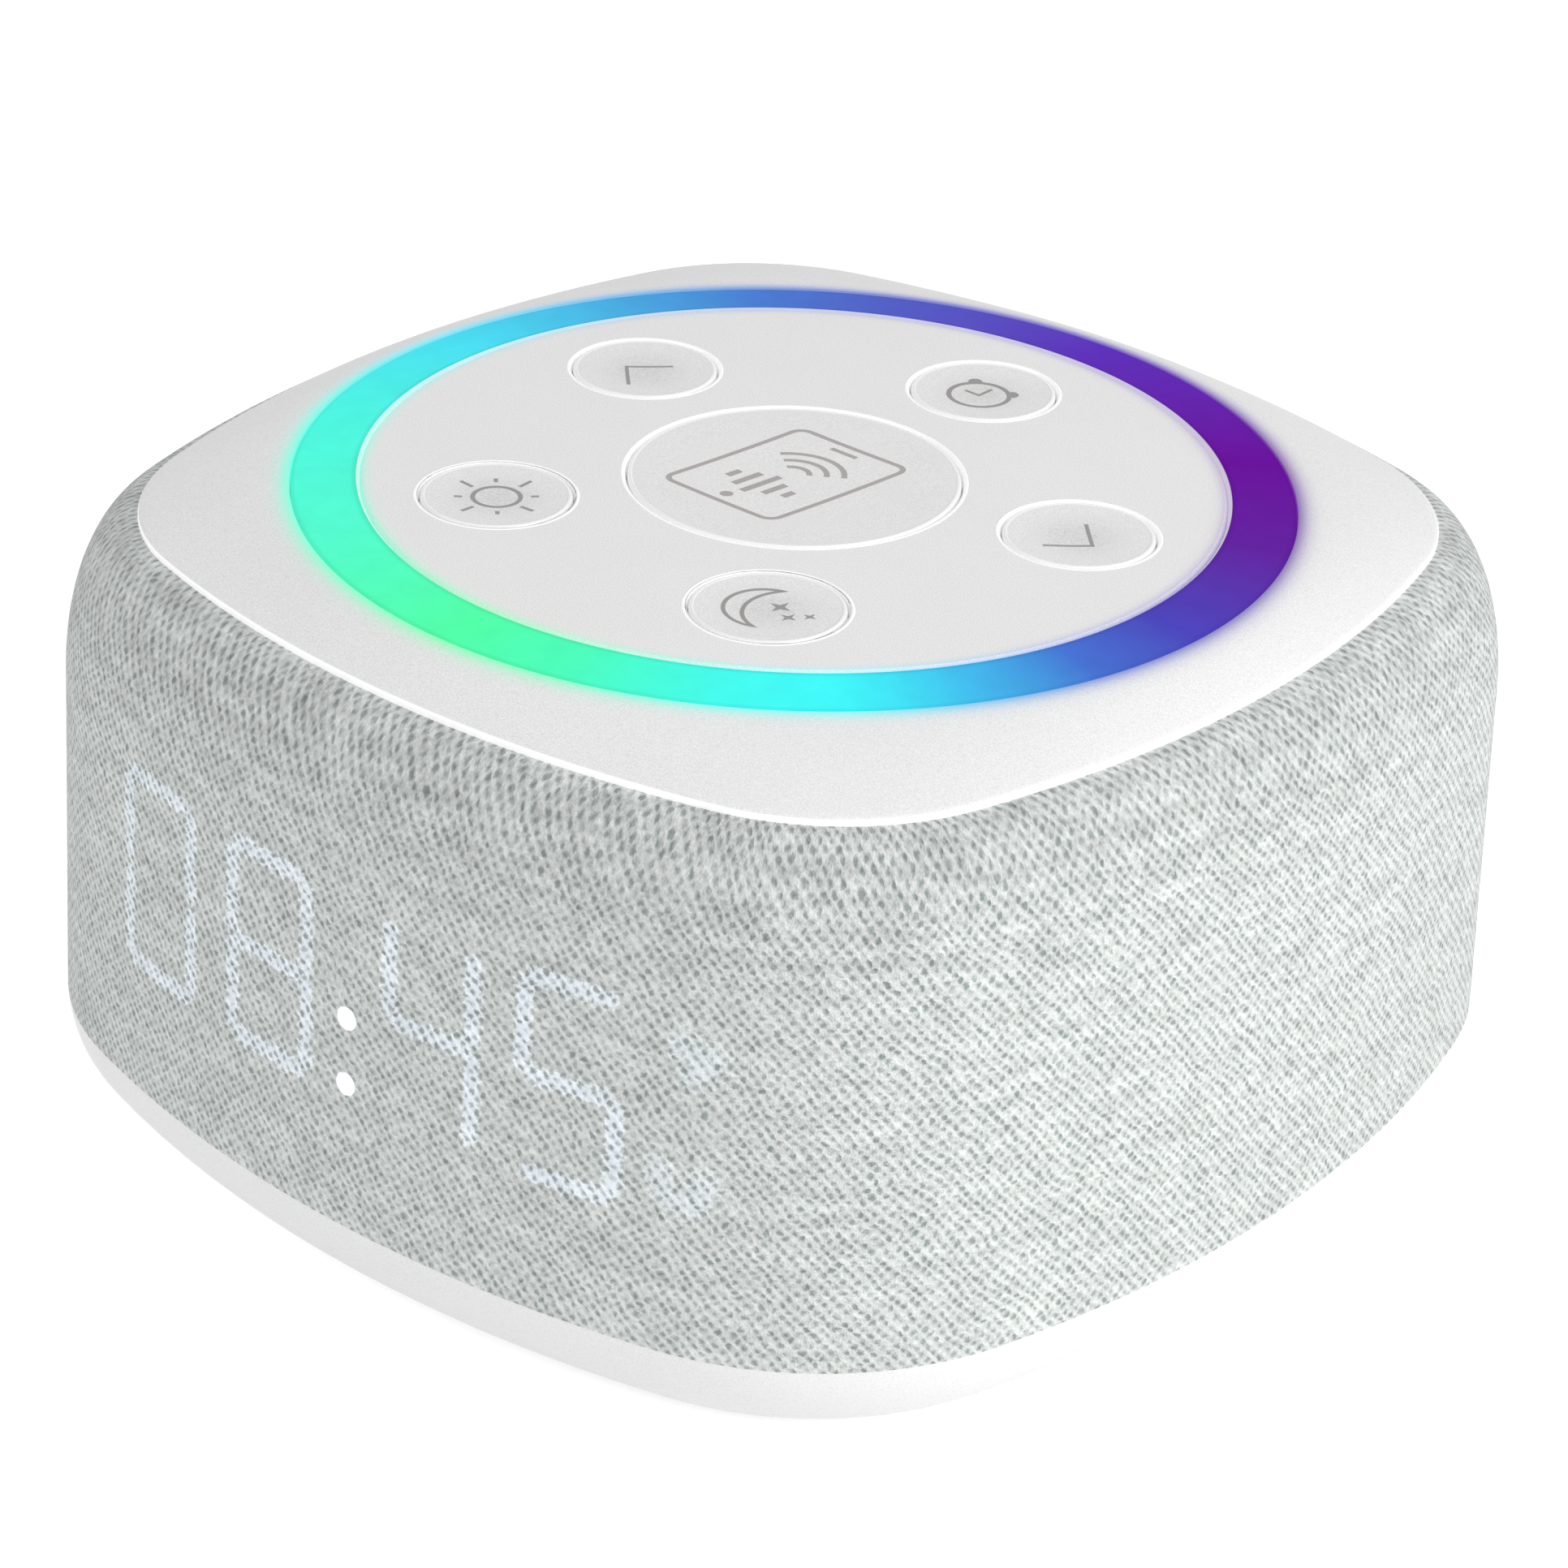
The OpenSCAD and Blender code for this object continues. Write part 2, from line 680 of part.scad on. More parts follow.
module ring_carrier() {
    lip_z = ring_z;
    floor_top = control_top_z + led_h;
    color("whitesmoke")
        difference() {
            union() {
                rotate_extrude()
                    polygon([
                        [carrier_in_r, control_top_z], [carrier_out_r, control_top_z],
                        [carrier_out_r, panel_z], [deck_hole_r, panel_z], [deck_hole_r, lip_z],
                        [ring_r - carrier_ledge, lip_z], [ring_r - carrier_ledge, floor_top],
                        [ring_in_r + carrier_ledge, floor_top], [ring_in_r + carrier_ledge, lip_z],
                        [panel_r, lip_z], [panel_r, panel_z], [carrier_in_r, panel_z]
                    ]);
                at_ears() translate([0, 0, -ear_t]) {
                    cylinder(h = ear_t, r = ear_r);
                    slab([-ear_pitch_r + carrier_out_r - 0.5, -ear_r, 0], [0, ear_r, ear_t]);
                }
            }
            at_ears() translate([0, 0, -ear_t - 1]) cylinder(h = ear_t + 2, r = small_hole_r);
            at_leds(control_top_z - 1, led_side / 2 + seat_gap, led_h + 2);
        }
}

module at_leds(z, half, h) {
    for (i = [0:led_count - 1])
        rotate(360 * i / led_count)
            slab([led_pitch_r - half, -half, z], [led_pitch_r + half, half, z + h]);
}

module ring_leds() {
    color("white") at_leds(control_top_z, led_side / 2, led_h - seat_gap);
}

module carrier_screws() {
    color("silver") at_ears() translate([0, 0, -ear_t]) small_screw();
}

// ---------- buttons ----------

module button_panel() {
    color("whitesmoke")
        difference() {
            union() {
                translate([0, 0, panel_z]) cylinder(h = panel_t - key_bevel, r = panel_r);
                translate([0, 0, top_z - key_bevel])
                    cylinder(h = key_bevel, r1 = panel_r, r2 = panel_r - key_bevel);
                for (a = post_angles)
                    rotate(a) translate([post_pitch_r, 0, control_top_z])
                        cylinder(h = panel_z - control_top_z + EPS, r = post_r);
            }
            key_hole(mode_r);
            for (a = key_angles) rotate(a) translate([key_pitch_r, 0, 0]) key_hole(key_r);
            for (a = post_angles)
                rotate(a) translate([post_pitch_r, 0, control_z])
                    cylinder(h = small_screw_l + 0.4, r = small_hole_r);
        }
}

module key_hole(r) {
    hole = r + key_gap;
    translate([0, 0, panel_z - 1]) cylinder(h = panel_t + 2, r = hole);
    translate([0, 0, top_z - key_bevel]) cylinder(h = key_bevel, r1 = hole, r2 = hole + key_bevel);
}

// A dished cap with a flange under the panel, a hollow underside and a stem on its switch.
module key_cap(r) {
    rim = r - key_bevel;
    color("whitesmoke")
        rotate_extrude()
            polygon(concat(
                [for (s = [0:0.2:1]) [rim * s, top_z - key_dish * (1 - s * s)]],
                [
                    [r, top_z - key_bevel], [r, panel_z - key_stop_gap],
                    [r + key_flange_w, panel_z - key_stop_gap], [r + key_flange_w, key_flange_z],
                    [r - key_wall, key_flange_z], [r - key_wall, top_z - key_roof],
                    [key_stem_r, top_z - key_roof], [key_stem_r, key_stem_z], [0, key_stem_z]
                ]
            ));
}

module small_key(i) {
    rotate(key_angles[i]) translate([key_pitch_r, 0, 0]) key_cap(key_r);
}

module plunger() {
    color("black")
        translate([0, 0, switch_top_z - plunger_in]) cylinder(h = plunger_in + plunger_out, r = plunger_r);
}

module small_plunger(i) {
    rotate(key_angles[i]) translate([key_pitch_r, 0, 0]) plunger();
}

module switch_housings() {
    depth = plunger_in + key_travel + 0.3;
    color("dimgray")
        at_keys()
            difference() {
                translate([-switch_side / 2, -switch_side / 2, control_top_z])
                    cube([switch_side, switch_side, switch_h]);
                translate([0, 0, switch_top_z - depth])
                    cylinder(h = depth + 1, r = plunger_r + plunger_gap);
            }
}

module control_board() {
    color("seagreen")
        difference() {
            translate([0, 0, control_z]) cylinder(h = board_t, r = control_r);
            for (a = post_angles)
                rotate(a) translate([post_pitch_r, 0, control_z - 1])
                    cylinder(h = board_t + 2, r = small_hole_r);
        }
}

module control_board_screws() {
    color("silver")
        for (a = post_angles) rotate(a) translate([post_pitch_r, 0, control_z]) small_screw();
}

// ---------- chassis and speaker ----------

module chassis() {
    hole_r = basket_r + drop_gap;
    color("gray")
        difference() {
            union() {
                translate([0, 0, chassis_z]) linear_extrude(chassis_t) outline(chassis_inset);
                translate([0, 0, chassis_z - rib_h]) tube(hole_r + rib_t, hole_r, rib_h + EPS);
                for (p = foot_places)
                    intersection() {
                        translate([0, 0, chassis_z - rib_h])
                            rotate(atan2(p.y, p.x))
                                slab([hole_r + rib_t / 2, -rib_t / 2, 0],
                                     [norm(p) - tower_r - drop_gap, rib_t / 2, rib_h + EPS]);
                        cylinder(h = top_z, r = body_w / 2);
                    }
            }
            translate([0, 0, chassis_z - 1]) cylinder(h = chassis_t + 2, r = hole_r);
            for (p = foot_places)
                translate(p + [0, 0, chassis_z - 1]) cylinder(h = chassis_t + 2, r = long_hole_r);
            speaker_holes(chassis_z - rib_h, rib_h + chassis_t + 1);
            slab([display_left - 3, -body_w, chassis_z - 1],
                 [display_right + 3, display_back_y + board_t + 2.5, chassis_top_z + 1]);
            slab([-ribbon_w / 2 - 1, ribbon_y - 1, chassis_z - 1],
                 [ribbon_w / 2 + 1, ribbon_y + 2, chassis_top_z + 1]);
        }
}

module speaker_holes(z, h) {
    for (a = [45:90:315])
        rotate(a) translate([speaker_screw_pitch_r, 0, z]) cylinder(h = h, r = small_hole_r);
}

module speaker_gasket() {
    color("dimgray")
        difference() {
            translate([0, 0, chassis_top_z]) tube(speaker_r - 0.5, basket_r + drop_gap, gasket_t);
            speaker_holes(chassis_top_z - 1, gasket_t + 2);
        }
}

module speaker_basket() {
    color("darkgray")
        difference() {
            rotate_extrude()
                polygon([
                    [coil_out_r + coil_gap + 1, basket_z], [basket_floor_r, basket_z],
                    [basket_r, speaker_z - 2], [basket_r, speaker_z], [speaker_r, speaker_z],
                    [speaker_r, speaker_top_z], [basket_r - basket_t, speaker_top_z],
                    [basket_r - basket_t, speaker_z - 2], [basket_floor_r - basket_t, basket_z + basket_t],
                    [coil_out_r + coil_gap + 1, basket_z + basket_t]
                ]);
            for (a = [0:60:300])
                rotate(a) slab([basket_floor_r + 1, -5.5, basket_z + 3], [basket_r + 2, 5.5, speaker_z - 3]);
            speaker_holes(speaker_z - 1, speaker_flange_t + 2);
        }
}

module speaker_screws() {
    color("silver")
        for (a = [45:90:315])
            rotate(a) translate([speaker_screw_pitch_r, 0, speaker_top_z]) mirror([0, 0, 1]) small_screw();
}

module speaker_front_plate() {
    color("silver")
        translate([0, 0, front_plate_z]) tube(magnet_r - 1.5, coil_out_r + coil_gap, plate_t);
}

module speaker_magnet() {
    color("dimgray") translate([0, 0, magnet_z]) tube(magnet_r, coil_out_r + 2, magnet_h);
}

module speaker_yoke() {
    color("silver") {
        translate([0, 0, yoke_z]) cylinder(h = plate_t, r = magnet_r - 1.5);
        translate([0, 0, magnet_z - EPS]) cylinder(h = basket_z - magnet_z + EPS, r = pole_r);
    }
}

module speaker_surround() {
    roll = (cone_r + basket_r) / 2 + 0.2;
    arch = [for (a = [180:-15:0]) [roll + roll_r * cos(a), speaker_top_z + 0.4 + roll_r * sin(a)]];
    inner = [for (a = [0:15:180])
        [roll + (roll_r - 0.4) * cos(a), speaker_top_z + 0.4 + (roll_r - 0.4) * sin(a)]];
    color("black")
        rotate_extrude()
            polygon(concat(
                [[cone_r - 1.5, speaker_top_z], [cone_r - 1.5, speaker_top_z + 0.4]], arch,
                [[basket_r + 0.7, speaker_top_z + 0.4], [basket_r + 0.7, speaker_top_z]],
                [[roll + roll_r - 0.4, speaker_top_z]], inner, [[roll - roll_r + 0.4, speaker_top_z]]
            ));
}

module speaker_spider() {
    out_r = basket_floor_r - 0.2;
    in_r = coil_out_r + 0.2;
    waves = [for (i = [0:12]) [in_r + (out_r - in_r) * i / 12, spider_z + (i % 2 == 0 ? 0 : 0.5)]];
    color("orange")
        rotate_extrude() polygon(concat(waves, reversed([for (p = waves) p + [0, 0.3]])));
}

module speaker_cone() {
    neck_r = coil_out_r;
    color("black")
        rotate_extrude()
            polygon([
                [neck_r, cone_z], [neck_r + cone_t, cone_z], [cone_r - 1, cone_top_z - 0.2],
                [cone_r, cone_top_z], [cone_r, cone_top_z + cone_t], [cone_r - 1.4, cone_top_z + cone_t],
                [neck_r, cone_z + 1.2]
            ]);
}

module dust_cap() {
    rim_r = coil_out_r + 2;
    rise = 2.4;
    rim_z = cone_z + (rim_r - coil_out_r) * (cone_top_z - cone_z) / (cone_r - coil_out_r) + 1.35;
    dome = [for (s = [0:0.125:1]) [rim_r * s, rim_z + rise * (1 - s * s)]];
    color("black")
        rotate_extrude() polygon(concat(dome, [for (p = reversed(dome)) p + [0, 0.4]]));
}

module voice_coil() {
    color("darkgoldenrod")
        translate([0, 0, coil_z]) tube(coil_out_r - EPS, coil_in_r, cone_z + 1 - coil_z);
}

// ---------- clock display ----------

// A stroke with pointed ends, from one end to the other, in the plane of the display.
module stroke(a, b) {
    v = b - a;
    w = stroke_w / 2;
    translate(a)
        rotate(atan2(v.y, v.x))
            polygon([
                [stroke_gap, 0], [stroke_gap + w, w], [norm(v) - stroke_gap - w, w],
                [norm(v) - stroke_gap, 0], [norm(v) - stroke_gap - w, -w], [stroke_gap + w, -w]
            ]);
}

// Seven strokes of a leaning digit, drawn round its centre.
module digit() {
    w = (digit_w - stroke_w) / 2;
    h = (digit_h - stroke_w) / 2;
    lean = digit_lean / 2;
    right = [[w - lean, -h], [w, 0], [w + lean, h]];
    left = [[-w - lean, -h], [-w, 0], [-w + lean, h]];
    for (i = [0, 1]) {
        stroke(left[i], left[i + 1]);
        stroke(right[i], right[i + 1]);
    }
    for (i = [0:2]) stroke(left[i], right[i]);
}

module display_marks() {
    for (x = digit_xs) translate([x, digit_z]) digit();
    for (z = colon_zs) translate([colon_x, z]) circle(dot_r);
    for (z = indicator_zs) translate([indicator_x, z]) circle(indicator_r);
}

// The marks as prisms along Y, from the back of the display block to the front.
module mark_prisms() {
    translate([0, display_back_y + 1, 0]) rotate([90, 0, 0]) linear_extrude(display_slab) display_marks();
}

module display_block() {
    color("white")
        difference() {
            union() {
                intersection() {
                    shell_fill(frame_out + seat_gap, display_slab);
                    slab([display_left, -body_w, display_bottom],
                         [display_right, display_back_y, display_top]);
                }
                intersection() {
                    shell_fill(frame_in + seat_gap, display_slab);
                    slab([display_left - display_lip, -body_w, display_bottom - display_lip],
                         [display_right + display_lip, display_back_y, display_top + display_lip]);
                }
            }
            mark_prisms();
        }
}

module segment_lenses() {
    color("lightcyan")
        intersection() {
            shell_layer(frame_out + seat_gap, frame_out + seat_gap + lens_t);
            mark_prisms();
        }
}

module display_board() {
    color("seagreen")
        slab([display_left - display_lip, display_back_y, display_bottom - display_lip],
             [display_right, display_back_y + board_t, display_top + display_lip]);
}

module display_leds() {
    half = 0.4;
    deep = 0.5;
    color("white")
        translate([0, display_back_y, 0])
            rotate([90, 0, 0])
                linear_extrude(deep) {
                    for (x = digit_xs, s = [-1, 1], t = [-1, 1])
                        translate([x + s * (digit_w - stroke_w) / 2 + t * digit_lean / 4,
                                   digit_z + t * (digit_h - stroke_w) / 4])
                            square(2 * half, center = true);
                    for (x = digit_xs, t = [-1, 0, 1])
                        translate([x + t * digit_lean / 2, digit_z + t * (digit_h - stroke_w) / 2])
                            square(2 * half, center = true);
                    for (z = colon_zs) translate([colon_x, z]) square(2 * half, center = true);
                    for (z = indicator_zs) translate([indicator_x, z]) square(2 * half, center = true);
                }
}

// ---------- main board and leads ----------

module main_board() {
    color("seagreen")
        difference() {
            intersection() {
                slab([-main_w / 2, main_front_y, main_z], [main_w / 2, main_rear_y, main_top_z]);
                linear_extrude(top_z) outline(base_round_w + drop_gap);
            }
            slab([-inlet_w / 2 - seat_gap, inlet_y - inlet_l - seat_gap, main_z - 1],
                 [inlet_w / 2 + seat_gap, main_rear_y + 1, main_top_z + 1]);
            for (x = [-main_screw_x, main_screw_x])
                translate([x, main_screw_y, main_z - 1]) cylinder(h = main_t + 2, r = small_hole_r);
        }
}

module main_board_screws() {
    tip = main_top_z - stand_h - 1;
    color("silver")
        for (x = [-main_screw_x, main_screw_x])
            translate([x, main_screw_y, main_top_z])
                mirror([0, 0, 1]) screw(small_screw_r, tip, small_head_r, small_head_h);
}

module chip(x, y, w, d, h) {
    translate([x - w / 2, y - d / 2, main_top_z]) cube([w, d, h]);
}

module main_chips() {
    front = main_front_y + 5.5;
    rear = main_rear_y - 6.5;
    color("black") {
        chip(main_screw_x - 10, front, 7, 7, 1);
        chip(capacitor_x - 7, rear, 5, 6, 1.5);
        chip(7 - capacitor_x, rear, 4, 5, 1.5);
        chip(display_ribbon_x + 6, front - 2, 3, 3, 1);
    }
}

module capacitors() {
    color("silver")
        for (x = [-capacitor_x, capacitor_x])
            translate([x, main_rear_y - 6, main_top_z]) cylinder(h = 7, r = 3.15);
}

module power_inlet() {
    r = inlet_h / 2;
    wall = 0.3;
    flat = inlet_w - inlet_h;
    color("silver")
        translate([0, inlet_y, inlet_z + r])
            rotate([90, 0, 0]) {
                difference() {
                    linear_extrude(inlet_l) {
                        square([flat, 2 * r], center = true);
                        for (x = [-1, 1]) translate([x * flat / 2, 0]) circle(r);
                    }
                    translate([0, 0, -1])
                        linear_extrude(inlet_l - 1) {
                            square([flat, 2 * (r - wall)], center = true);
                            for (x = [-1, 1]) translate([x * flat / 2, 0]) circle(r - wall);
                        }
                }
                translate([-flat / 2 - 0.5, -0.35, 1.5]) cube([flat + 1, 0.7, inlet_l - 2]);
            }
}

module board_sockets() {
    half = ribbon_w / 2 + 1;
    narrow = display_ribbon_w / 2 + 1;
    color("ivory") {
        slab([-half, ribbon_y - socket_d, control_z - socket_h], [half, ribbon_y, control_z]);
        slab([-half, ribbon_y - socket_d, main_top_z], [half, ribbon_y, main_top_z + socket_h]);
        slab([display_ribbon_x - narrow, display_socket_y, main_top_z],
             [display_ribbon_x + narrow, display_socket_y + socket_d, main_top_z + socket_h]);
        slab([-lead_x - 2, lead_y - socket_d / 2, main_top_z],
             [lead_x + 2, lead_y + socket_d / 2, main_top_z + socket_h]);
    }
}

module control_ribbon() {
    low = main_top_z + socket_h / 2;
    high = control_z - socket_h / 2;
    color("ivory")
        ribbon([[ribbon_y, low], [ribbon_y + 1, low], [ribbon_y + 1, high], [ribbon_y, high]], 0, ribbon_w);
}

module display_ribbon() {
    back = display_back_y + board_t;
    low = floor_z + 0.4;
    color("ivory")
        ribbon([
            [back + ribbon_t / 2, digit_z - 4], [back + ribbon_t / 2, low + 3], [back + 4, low],
            [main_front_y - 3, low], [main_front_y - 1.2, main_top_z + socket_h / 2],
            [display_socket_y, main_top_z + socket_h / 2]
        ], display_ribbon_x, display_ribbon_w);
}

module speaker_leads() {
    color("firebrick")
        for (x = [-lead_x, lead_x])
            lead([
                [x, lead_start_y, lead_z], [x, lead_y, lead_z], [x, lead_y, main_top_z + socket_h]
            ], lead_r);
}

bottom_shell();
foot_pads();
long_screws();
grille_frame();
fabric_wrap();
deck_plate();
light_ring();
ring_carrier();
ring_leds();
button_panel();
key_cap(mode_r);  // mode_button
small_key(0);  // next_button
small_key(1);  // alarm_button
small_key(2);  // previous_button
small_key(3);  // brightness_button
small_key(4);  // sleep_button
plunger();  // mode_plunger
small_plunger(0);  // next_plunger
small_plunger(1);  // alarm_plunger
small_plunger(2);  // previous_plunger
small_plunger(3);  // brightness_plunger
small_plunger(4);  // sleep_plunger
switch_housings();
control_board();
carrier_screws();
control_board_screws();
chassis();
speaker_gasket();
speaker_basket();
speaker_screws();
speaker_front_plate();
speaker_magnet();
speaker_yoke();
speaker_surround();
speaker_spider();
speaker_cone();
dust_cap();
voice_coil();
display_block();
segment_lenses();
display_board();
display_leds();
main_board();
main_board_screws();
main_chips();
capacitors();
power_inlet();
board_sockets();
control_ribbon();
display_ribbon();
speaker_leads();
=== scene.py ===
"""Looks of a tabletop white noise sound machine: fabric wall, white deck with a light ring, six
buttons and a clock that shines through the fabric.

Everything is in metres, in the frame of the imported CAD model: +Z up, the clock faces -Y, the power
inlet faces +Y. Sizes come from the CAD nodes' boxes where a node has them."""

import json
import math

import bpy
import numpy as np
from mathutils import Matrix, Vector


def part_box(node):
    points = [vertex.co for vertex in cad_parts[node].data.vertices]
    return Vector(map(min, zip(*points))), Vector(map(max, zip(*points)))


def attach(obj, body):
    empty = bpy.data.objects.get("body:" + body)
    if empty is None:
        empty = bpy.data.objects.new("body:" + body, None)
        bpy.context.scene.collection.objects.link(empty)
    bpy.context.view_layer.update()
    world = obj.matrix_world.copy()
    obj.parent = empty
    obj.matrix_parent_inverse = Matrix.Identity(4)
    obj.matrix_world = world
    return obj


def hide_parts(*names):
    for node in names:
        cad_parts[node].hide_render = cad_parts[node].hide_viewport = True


MM = 0.001
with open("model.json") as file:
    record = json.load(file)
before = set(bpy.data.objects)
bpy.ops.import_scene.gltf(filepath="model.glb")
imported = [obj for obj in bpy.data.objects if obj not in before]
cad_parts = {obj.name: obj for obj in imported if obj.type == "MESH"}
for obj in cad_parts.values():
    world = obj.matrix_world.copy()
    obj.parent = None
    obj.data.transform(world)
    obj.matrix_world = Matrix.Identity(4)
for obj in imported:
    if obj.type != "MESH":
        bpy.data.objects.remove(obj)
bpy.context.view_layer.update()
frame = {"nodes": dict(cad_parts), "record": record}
nodes = frame["nodes"]

# ---------- sizes and settings ----------

ring_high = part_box("light_ring")[1]
deck_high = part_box("deck_plate")[1]
fabric_low, fabric_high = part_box("fabric_wrap")

TOP_Z = ring_high.z
RING_R = ring_high.x
RING_INNER_R = RING_R - 5.6 * MM
DECK_HOLE_R = RING_R + 0.1 * MM
HALF_W = 55.5 * MM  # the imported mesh's box is a little smaller, because its arcs are faceted
SEAM_Z = fabric_low.z
FABRIC_TOP_Z = fabric_high.z
DECK_INSET = HALF_W - deck_high.x

# The outline's four side arcs and four corner arcs meet at the angle of a 7-24-25 triangle.
CORNER_R = 28.3 * MM
SIDE_SIN, SIDE_COS = 0.28, 0.96
ARC_GAP = (HALF_W - CORNER_R) / (1 + SIDE_SIN - SIDE_COS)
SIDE_R = CORNER_R + ARC_GAP
SIDE_CENTRE = HALF_W - SIDE_R
CORNER_CENTRE = SIDE_SIN * ARC_GAP

# Wall section
WALL_DRAFT = 0.9 * MM
SHOULDER_Z = 38 * MM
FABRIC_T = 0.9 * MM
FABRIC_TUCK = 1 * MM

# Deck section
RING_FALL = 0.4 * MM
DECK_Z = TOP_Z - RING_FALL
DECK_DROP = 2.9 * MM
DOME_POWER = 1.5
DECK_T = 1.6 * MM
FLANGE_W = 2.1 * MM

# Buttons
MODE_R = 14 * MM
KEY_R = 6.3 * MM
KEY_PITCH_R = 25.3 * MM
KEY_DISH = 0.25 * MM
KEY_BEVEL = 0.3 * MM
KEY_GAP = 0.2 * MM
KEY_ANGLES = {"next": 18, "alarm": 90, "previous": 162, "brightness": 234, "sleep": 306}

# Clock: the glow on the fabric is a little larger than the lenses behind it
STROKE_W = 1 * MM
STROKE_CUT = 0.9 * MM  # from a digit's corner to the end of a stroke's middle line
DIGIT_H, DIGIT_Z = 18.3 * MM, 29.5 * MM
DIGIT_XS = [-21.5 * MM, -6.8 * MM, 10.8 * MM, 23.6 * MM]
DIGIT_WS = [10.2 * MM, 10 * MM, 9.2 * MM, 9.2 * MM]
COLON_X, COLON_ZS = 2.3 * MM, [21.7 * MM, 27.65 * MM]
DOT_R = 1.03 * MM
# Blurred marks beside the clock: points along each one's middle line, in millimetres
INDICATOR_W = 1 * MM
INDICATOR_MARKS = [
    [(32.6, 36.0), (34.2, 35.1), (33.8, 33.6), (35.0, 35.2)],
    [(31.3, 24.8), (32.4, 22.5), (34.0, 22.2), (35.0, 24.2)],
]
TIME_SHOWN = "0845"

# Knit: width and height of the repeat, which holds two rows of holes, and its lean for each step up
KNIT_W, KNIT_H, KNIT_LEAN = 1.11 * MM, 1.1 * MM, 0.11
# Noise that pulls the rows out of line: its size and how far it reaches, in millimetres
KNIT_DRIFTS = [(0.5, 0.58), (1.6, 0.6), (6.0, 1.2)]
# The way the yarn's slubs run: so much to the right and so much down
SLUB_RIGHT, SLUB_DOWN = 0.669, 0.743
# The shoulder stretches the knit upwards: share of its height that is left, by height in millimetres
SHOULDER_STRETCH = (45.5, 50), (1.0, 0.62)
# The cover's mesh: width of its columns, and its rows up the wall and over the shoulder
COLUMN_W = 0.55 * MM
OUTER_ROWS, INNER_ROWS = (62, 36), (4, 12)

# Bead on a button's rim and on its hole's lip: outward from the edge and up from the face, in millimetres
BEAD = [(-0.42, -0.1), (-0.37, 0.02), (-0.27, 0.045), (-0.15, 0.02), (-0.06, -0.05), (0, -0.15), (0.03, -0.3)]
RIM_SKIRT = [(0.03, -0.8), (-0.3, -0.8)]
LIP_LEDGE = [(0.12, -0.42), (0.12, -0.8), (-0.3, -0.8)]

# Printed marks: heights of their two faces over the button's dish, and the longest step of a stroke
PRINT_TOP, PRINT_BOTTOM = 0.012 * MM, -0.03 * MM
PRINT_STEP_MM = 0.4

# Stage
AMBIENT = 0.45
FLOOR_HALF = 3.0
FLOOR_LEVEL, FLOOR_GLOW = 240, 0.62

WHITE, BLACK = (1, 1, 1, 1), (0, 0, 0, 1)
FAR_MM = 99.0  # stands for no lit mark in reach


# ---------- camera ----------

def direction(azimuth, elevation):
    """Unit vector away from the object: degrees to the right of its front, and degrees up."""
    azimuth, elevation = math.radians(azimuth), math.radians(elevation)
    return Vector((
        math.sin(azimuth) * math.cos(elevation),
        -math.cos(azimuth) * math.cos(elevation),
        math.sin(elevation),
    ))


def place_camera():
    """Camera of the photograph, found from the ring, the buttons, the deck and the silhouette."""
    azimuth, elevation, roll = 39.732, 28.1945, 2.3499
    distance, shift_right, shift_up = 9.2931 * RING_R, -0.0213 * RING_R, -0.6152 * RING_R
    focal_px, image_px = 5743.8, 1932
    back = direction(azimuth, elevation)
    azimuth, roll = math.radians(azimuth), math.radians(roll)
    level = Vector((math.cos(azimuth), math.sin(azimuth), 0))
    upright = back.cross(level)
    right = level * math.cos(roll) + upright * math.sin(roll)
    up = upright * math.cos(roll) - level * math.sin(roll)
    data = bpy.data.cameras.new("camera")
    data.sensor_width = 36
    data.lens = data.sensor_width * focal_px / image_px
    data.clip_start, data.clip_end = 0.01, 20
    camera = bpy.data.objects.new("camera", data)
    bpy.context.scene.collection.objects.link(camera)
    place = Vector((0, 0, TOP_Z)) + back * distance + right * shift_right + up * shift_up
    camera.matrix_world = Matrix.Translation(place) @ Matrix((right, up, back)).transposed().to_4x4()
    bpy.context.scene.camera = camera


# ---------- material tools ----------

def srgb(*levels):
    """Colour from 0-255 levels, as the linear values that Blender's sockets take."""
    def linear(v):
        v /= 255
        return v / 12.92 if v <= 0.04045 else ((v + 0.055) / 1.055) ** 2.4
    return tuple(linear(v) for v in levels) + (1.0,)


